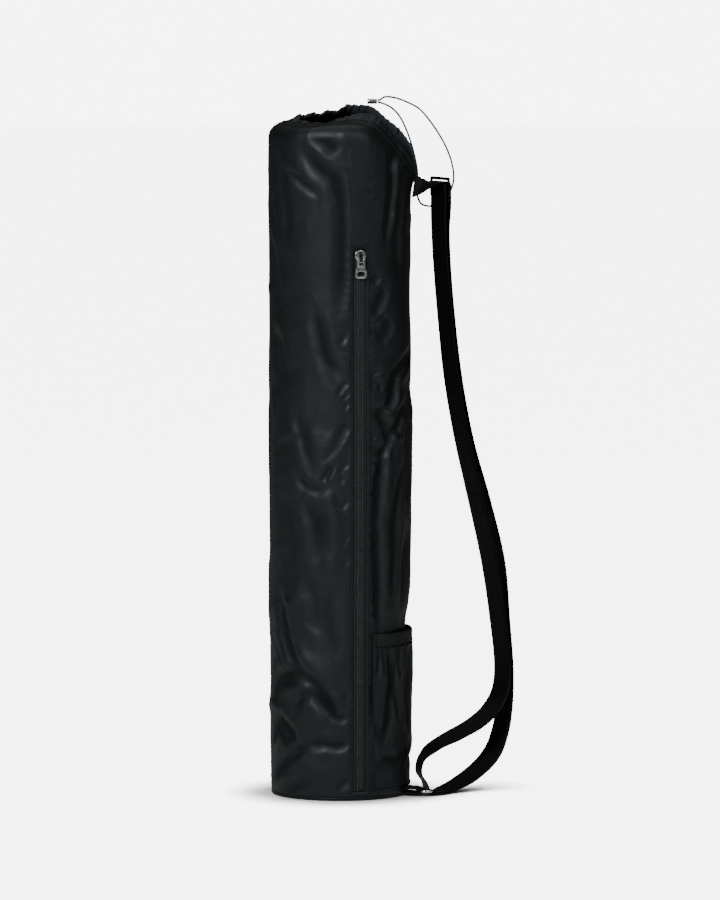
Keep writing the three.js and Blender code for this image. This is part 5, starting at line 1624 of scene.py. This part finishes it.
def make_tabs():
    """The two sewn tabs: one twisted to the buckle and pinched there, one round the ring's inner bar."""
    start = at_glide(-LEG_OUT - 0.3, CROSS_UP)
    straight = at_glide(-LEG_OUT - 0.3 - WEB_THICKNESS, CROSS_UP)
    leaving = at_glide(-LEG_OUT - 0.3 - 4 * WEB_THICKNESS, CROSS_UP)
    plain = top_point(np.array([-10.0]), np.array([[0.0], [1.0]]))[:, 0]
    low, high = plain[0], plain[1]
    upright = unit(high - low)
    outward = np.array((math.cos(math.radians(-10)), math.sin(math.radians(-10)), 0.0))
    seam = low + (high - low) * 0.45 + outward * 0.3
    before = seam + outward * 3 * WEB_THICKNESS
    middle = (np.array(leaving[0]) + before) / 2
    half = unit(np.array(leaving[1]) + upright)
    stations = [start, straight, leaving, (middle, half), (before, upright), (seam, upright)]
    width = ([0, 0.3, 0.55, 0.8, 1.0], [25, 23, 15, 21, 25])
    make_web("top_tab_webbing", stations, "top_tab", width, 10)
    bar = np.array(at_ring(-RING_EDGE - RING_WIRE / 2, 0)[0])
    turn = math.atan2(bar[1], bar[0])
    out = np.array((math.cos(turn), math.sin(turn), 0.0))
    round_way = np.array((-math.sin(turn), math.cos(turn), 0.0))

    def root(up):
        """A station where the lower tab comes out of the wall."""
        height = RING[2] + up
        foot = polar(np.array(float(wall_radius(math.degrees(turn), height))), math.degrees(turn), height)
        return foot + out * 0.8, round_way

    stations = [root(RING_UNDER), at_ring(-RING_EDGE - RING_WIRE, RING_UNDER)]
    stations += corner(at_ring, -RING_EDGE, RING_WIRE / 2, 1, 1)[::-1]
    stations += corner(at_ring, -RING_EDGE, -RING_WIRE / 2, 1, -1)
    stations += [at_ring(-RING_EDGE - RING_WIRE, -RING_UNDER), root(-RING_UNDER)]
    make_web("bottom_tab_webbing", stations, "bottom_tab")
    lines = []
    for step in (1.2, 3.0):
        line = seam + outward * (step * 0.35 + 0.9) + upright * np.linspace(-10.5, 10.5, 14)[:, None]
        lines.append((line, np.tile(outward, (14, 1))))
    add_stitches("tab_stitching", lines, pitch=2.4)


# Fittings

def make_buckle():
    """The strap's flat buckle: a frame with a middle bar, its edges rounded and rubbed bright."""
    half_hole, half_width, half_length = 13.0, 15.5, 10.0
    bar_half, slot_height = 1.6, 5.2
    loops = [rounded_rectangle(half_width, half_length, 2.0, 6)]
    for side in (-1, 1):
        middle = side * (bar_half + slot_height / 2)
        loops.append(rounded_rectangle(half_hole, slot_height / 2, 0.8, 4, middle))
    out = np.array((math.cos(GLIDE_HEADING), math.sin(GLIDE_HEADING), 0.0))
    up = np.array((0, 0, 1.0))
    place = np.eye(4)
    place[:3, 0], place[:3, 1], place[:3, 2], place[:3, 3] = np.cross(up, out), up, out, GLIDE
    metal = finish_of("black nickel")
    buckle = outline_piece("strap_buckle", loops, 2.4, 0.6, place, metal)
    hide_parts("strap_slider")


def make_ring():
    """The ring at the base: a round wire bent to a rectangle with rounded corners."""
    half_long, half_short, corner_radius = 15.0, 5.2, 3.4
    flat = np.array(rounded_rectangle(half_short, half_long, corner_radius, 8))
    cos, sin = math.cos(RING_HEADING), math.sin(RING_HEADING)
    path = np.stack([
        RING[0] + flat[:, 0] * cos - flat[:, 1] * sin,
        RING[1] + flat[:, 0] * sin + flat[:, 1] * cos,
        np.full(len(flat), RING[2]),
    ], axis=1)
    points, faces = round_tube(path, RING_WIRE / 2, 16, True, (0, 0, 1))
    ring = new_piece("base_ring", points, faces, finish_of("nickel"))
    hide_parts("bottom_ring")


def stopper_centre():
    """Middle of the stopper's box in the frame, in millimetres."""
    low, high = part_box("cord_stopper")
    return (np.array(low) + np.array(high)) / 2 / MM


def make_stopper():
    """The cord's metal end stop: a short barrel with rolled ends and two turned grooves."""
    h, r = 5.2, 2.9
    profile = [(0.02, -h), (1.0, -h), (1.2, -h + 0.25)]
    profile += [(r - 0.8, -h + 0.1), (r - 0.25, -h + 0.35), (r, -h + 0.9)]
    for middle in (-2.2, 2.2):
        profile += [(r, middle - 0.6), (r - 0.3, middle - 0.3), (r - 0.3, middle + 0.3), (r, middle + 0.6)]
    profile += [(r, h - 0.9), (r - 0.25, h - 0.35), (r - 0.8, h - 0.1), (1.2, h - 0.25), (1.0, h), (0.02, h)]
    points, faces = turned_solid(profile, 40, "x")
    points = points + stopper_centre()
    stopper = new_piece("cord_end_stop", points, faces, finish_of("nickel"))
    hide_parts("cord_stopper")
    tidy_mesh(stopper.data)
    return stopper


def make_cord():
    """The drawcord's free loop: a braided round cord along its route, both ends in the stopper."""
    centre = stopper_centre()
    port = centre + (5.2 + 0.3, 0, 0)
    upper, lower = port + (0, 0, 1.2), port - (0, 0, 1.2)
    route = [upper, upper + (2, 0, 0), *CORD_ROUTE, lower + (2, 0, 0), lower]
    path = even_steps(through(route, 24), 1.2)
    points, faces = round_tube(path, CORD_DIAMETER / 2, 12, False, (0, 0, 1))
    legs = np.concatenate([[0], np.cumsum(np.linalg.norm(np.diff(path, axis=0), axis=1))])
    around = np.tile(np.arange(12) / 12, len(path))
    uv = np.stack([around, np.repeat(legs, 12)], axis=1)
    cord = new_piece("draw_cord", points, faces, finish_of("cord"), uv=uv)
    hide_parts("drawcord")
    return line_length(path)


# Stage

# The floor: half its side in metres, and points along each side
FLOOR_HALF = 12.0
FLOOR_POINTS = 25


def make_studio():
    """A pale floor open on every side, a world of its tone, a key, two weak lamps and a top lamp.

    The floor and the world look pale to the camera alone: what they throw on the bag is faint.
    """
    paper = settings_of().paper_color
    side = np.linspace(-FLOOR_HALF, FLOOR_HALF, FLOOR_POINTS)
    grid = np.stack(np.broadcast_arrays(side[None, :], side[:, None], 0.0), axis=-1)
    mesh = bpy.data.meshes.new("studio_paper")
    mesh.from_pydata(grid.reshape(-1, 3).tolist(), [], grid_quads(FLOOR_POINTS, FLOOR_POINTS, False).tolist())
    mesh.polygons.foreach_set("use_smooth", np.ones(len(mesh.polygons), dtype=bool))
    mesh.materials.append(studio_material("studio paper", tuple(paper)))
    floor = bpy.data.objects.new("studio_paper", mesh)
    bpy.context.scene.collection.objects.link(floor)
    world = bpy.data.worlds.new("soft studio")
    world.use_nodes = True
    tree = world.node_tree
    dim = tree.nodes["Background"]
    dim.inputs["Color"].default_value = (0.9, 0.96, 1, 1)
    dim.inputs["Strength"].default_value = 0.014
    pale = tree.nodes.new("ShaderNodeBackground")
    pale.inputs["Color"].default_value = (1, 1, 1, 1)
    pale.inputs["Strength"].default_value = 6.7
    seen = tree.nodes.new("ShaderNodeLightPath")
    mix = tree.nodes.new("ShaderNodeMixShader")
    tree.links.new(seen.outputs["Is Camera Ray"], mix.inputs[0])
    tree.links.new(dim.outputs[0], mix.inputs[1])
    tree.links.new(pale.outputs[0], mix.inputs[2])
    tree.links.new(mix.outputs[0], tree.nodes["World Output"].inputs["Surface"])
    bpy.context.scene.world = world
    lamps = (
        ("key", (-1.5, -3.2, 2.4), (0, 0, 0.45), 0.9, 1.0, 80, (0.94, 0.98, 1.0)),
        ("side", (-2.9, -1.2, 1.2), (0, 0, 0.4), 0.5, 1.2, 2, (0.92, 0.97, 1.0)),
        ("fill", (1.3, -1.6, 1.7), (0, 0, 0.62), 0.4, 0.5, 10, (0.96, 0.98, 1.0)),
        ("top", (0.0, 0.3, 3.2), (0, 0, 0.3), 2.6, 2.6, 18, (1.0, 1.0, 1.0)),
    )
    for name, place, aim, wide, tall, power, color in lamps:
        lamp = bpy.data.lights.new(name, "AREA")
        lamp.shape = "RECTANGLE"
        lamp.size, lamp.size_y = wide, tall
        lamp.energy = power
        lamp.color = color
        holder = bpy.data.objects.new(name, lamp)
        holder.location = place
        holder.rotation_euler = (Vector(aim) - Vector(place)).to_track_quat("-Z", "Y").to_euler()
        bpy.context.scene.collection.objects.link(holder)


def make_camera():
    """A long lens from the front, a little above the bag, with the photograph's framing."""
    data = bpy.data.cameras.new("front camera")
    data.sensor_fit = "VERTICAL"
    data.sensor_height = 36
    data.sensor_width = 28.8
    data.lens = 329
    data.clip_end = 60
    camera = bpy.data.objects.new("front camera", data)
    place, aim = Vector((0.021, -8.5, 1.194)), Vector((0.021, 0, 0.358))
    camera.location = place
    camera.rotation_euler = (aim - place).to_track_quat("-Z", "Y").to_euler()
    bpy.context.scene.collection.objects.link(camera)
    bpy.context.scene.camera = camera


# Operators

class MATBAG_OT_cloth(bpy.types.Operator):
    """Makes the cloth tube, its gathered mouth and its base."""

    bl_idname = "matbag.cloth"
    bl_label = "Cloth tube, mouth and base"

    def execute(self, context):
        make_tube()
        make_mouth()
        make_base()
        return {"FINISHED"}


class MATBAG_OT_pocket(bpy.types.Operator):
    """Makes the side pocket and its elastic band."""

    bl_idname = "matbag.pocket"
    bl_label = "Side pocket"

    def execute(self, context):
        make_pocket()
        make_band()
        return {"FINISHED"}


class MATBAG_OT_zip(bpy.types.Operator):
    """Makes the zip: tape, teeth, stitching, slider and pull."""

    bl_idname = "matbag.zip"
    bl_label = "Front zip"

    def execute(self, context):
        make_zip_tape()
        make_zip_coil()
        make_zip_stitching()
        make_slider()
        make_pull()
        return {"FINISHED"}


class MATBAG_OT_strap(bpy.types.Operator):
    """Makes the strap's webbing and its two sewn tabs."""

    bl_idname = "matbag.strap"
    bl_label = "Strap and tabs"

    def execute(self, context):
        make_strands()
        make_tabs()
        return {"FINISHED"}


class MATBAG_OT_fittings(bpy.types.Operator):
    """Makes the metal fittings: buckle, ring and cord stop."""

    bl_idname = "matbag.fittings"
    bl_label = "Metal fittings"

    def execute(self, context):
        make_buckle()
        make_ring()
        make_stopper()
        return {"FINISHED"}


class MATBAG_OT_cord(bpy.types.Operator):
    """Makes the drawcord's free loop."""

    bl_idname = "matbag.cord"
    bl_label = "Drawcord"

    def execute(self, context):
        make_cord()
        return {"FINISHED"}


class MATBAG_OT_stage(bpy.types.Operator):
    """Makes the paper, the lights and the camera."""

    bl_idname = "matbag.stage"
    bl_label = "Stage"

    def execute(self, context):
        make_studio()
        make_camera()
        return {"FINISHED"}


class MATBAG_PT_panel(bpy.types.Panel):
    """Lists the bag's settings and its makers."""

    bl_idname = "MATBAG_PT_panel"
    bl_label = "Mat bag"
    bl_space_type = "VIEW_3D"
    bl_region_type = "UI"
    bl_category = "Mat bag"

    def draw(self, context):
        for name in BagSettings.__annotations__:
            self.layout.prop(context.scene.mat_bag, name)
        for kind in OPERATORS:
            self.layout.operator(kind.bl_idname)


OPERATORS = (
    MATBAG_OT_stage, MATBAG_OT_cord, MATBAG_OT_cloth, MATBAG_OT_pocket, MATBAG_OT_zip, MATBAG_OT_strap,
    MATBAG_OT_fittings,
)
CLASSES = (BagSettings, *OPERATORS, MATBAG_PT_panel)


def register():
    for kind in CLASSES:
        bpy.utils.register_class(kind)
    bpy.types.Scene.mat_bag = PointerProperty(type=BagSettings)


def unregister():
    del bpy.types.Scene.mat_bag
    for kind in reversed(CLASSES):
        bpy.utils.unregister_class(kind)


def main():
    register()
    bpy.ops.matbag.stage()
    bpy.ops.matbag.cord()
    bpy.ops.matbag.cloth()
    bpy.ops.matbag.pocket()
    bpy.ops.matbag.zip()
    bpy.ops.matbag.strap()
    bpy.ops.matbag.fittings()


if __name__ == "__main__":
    main()
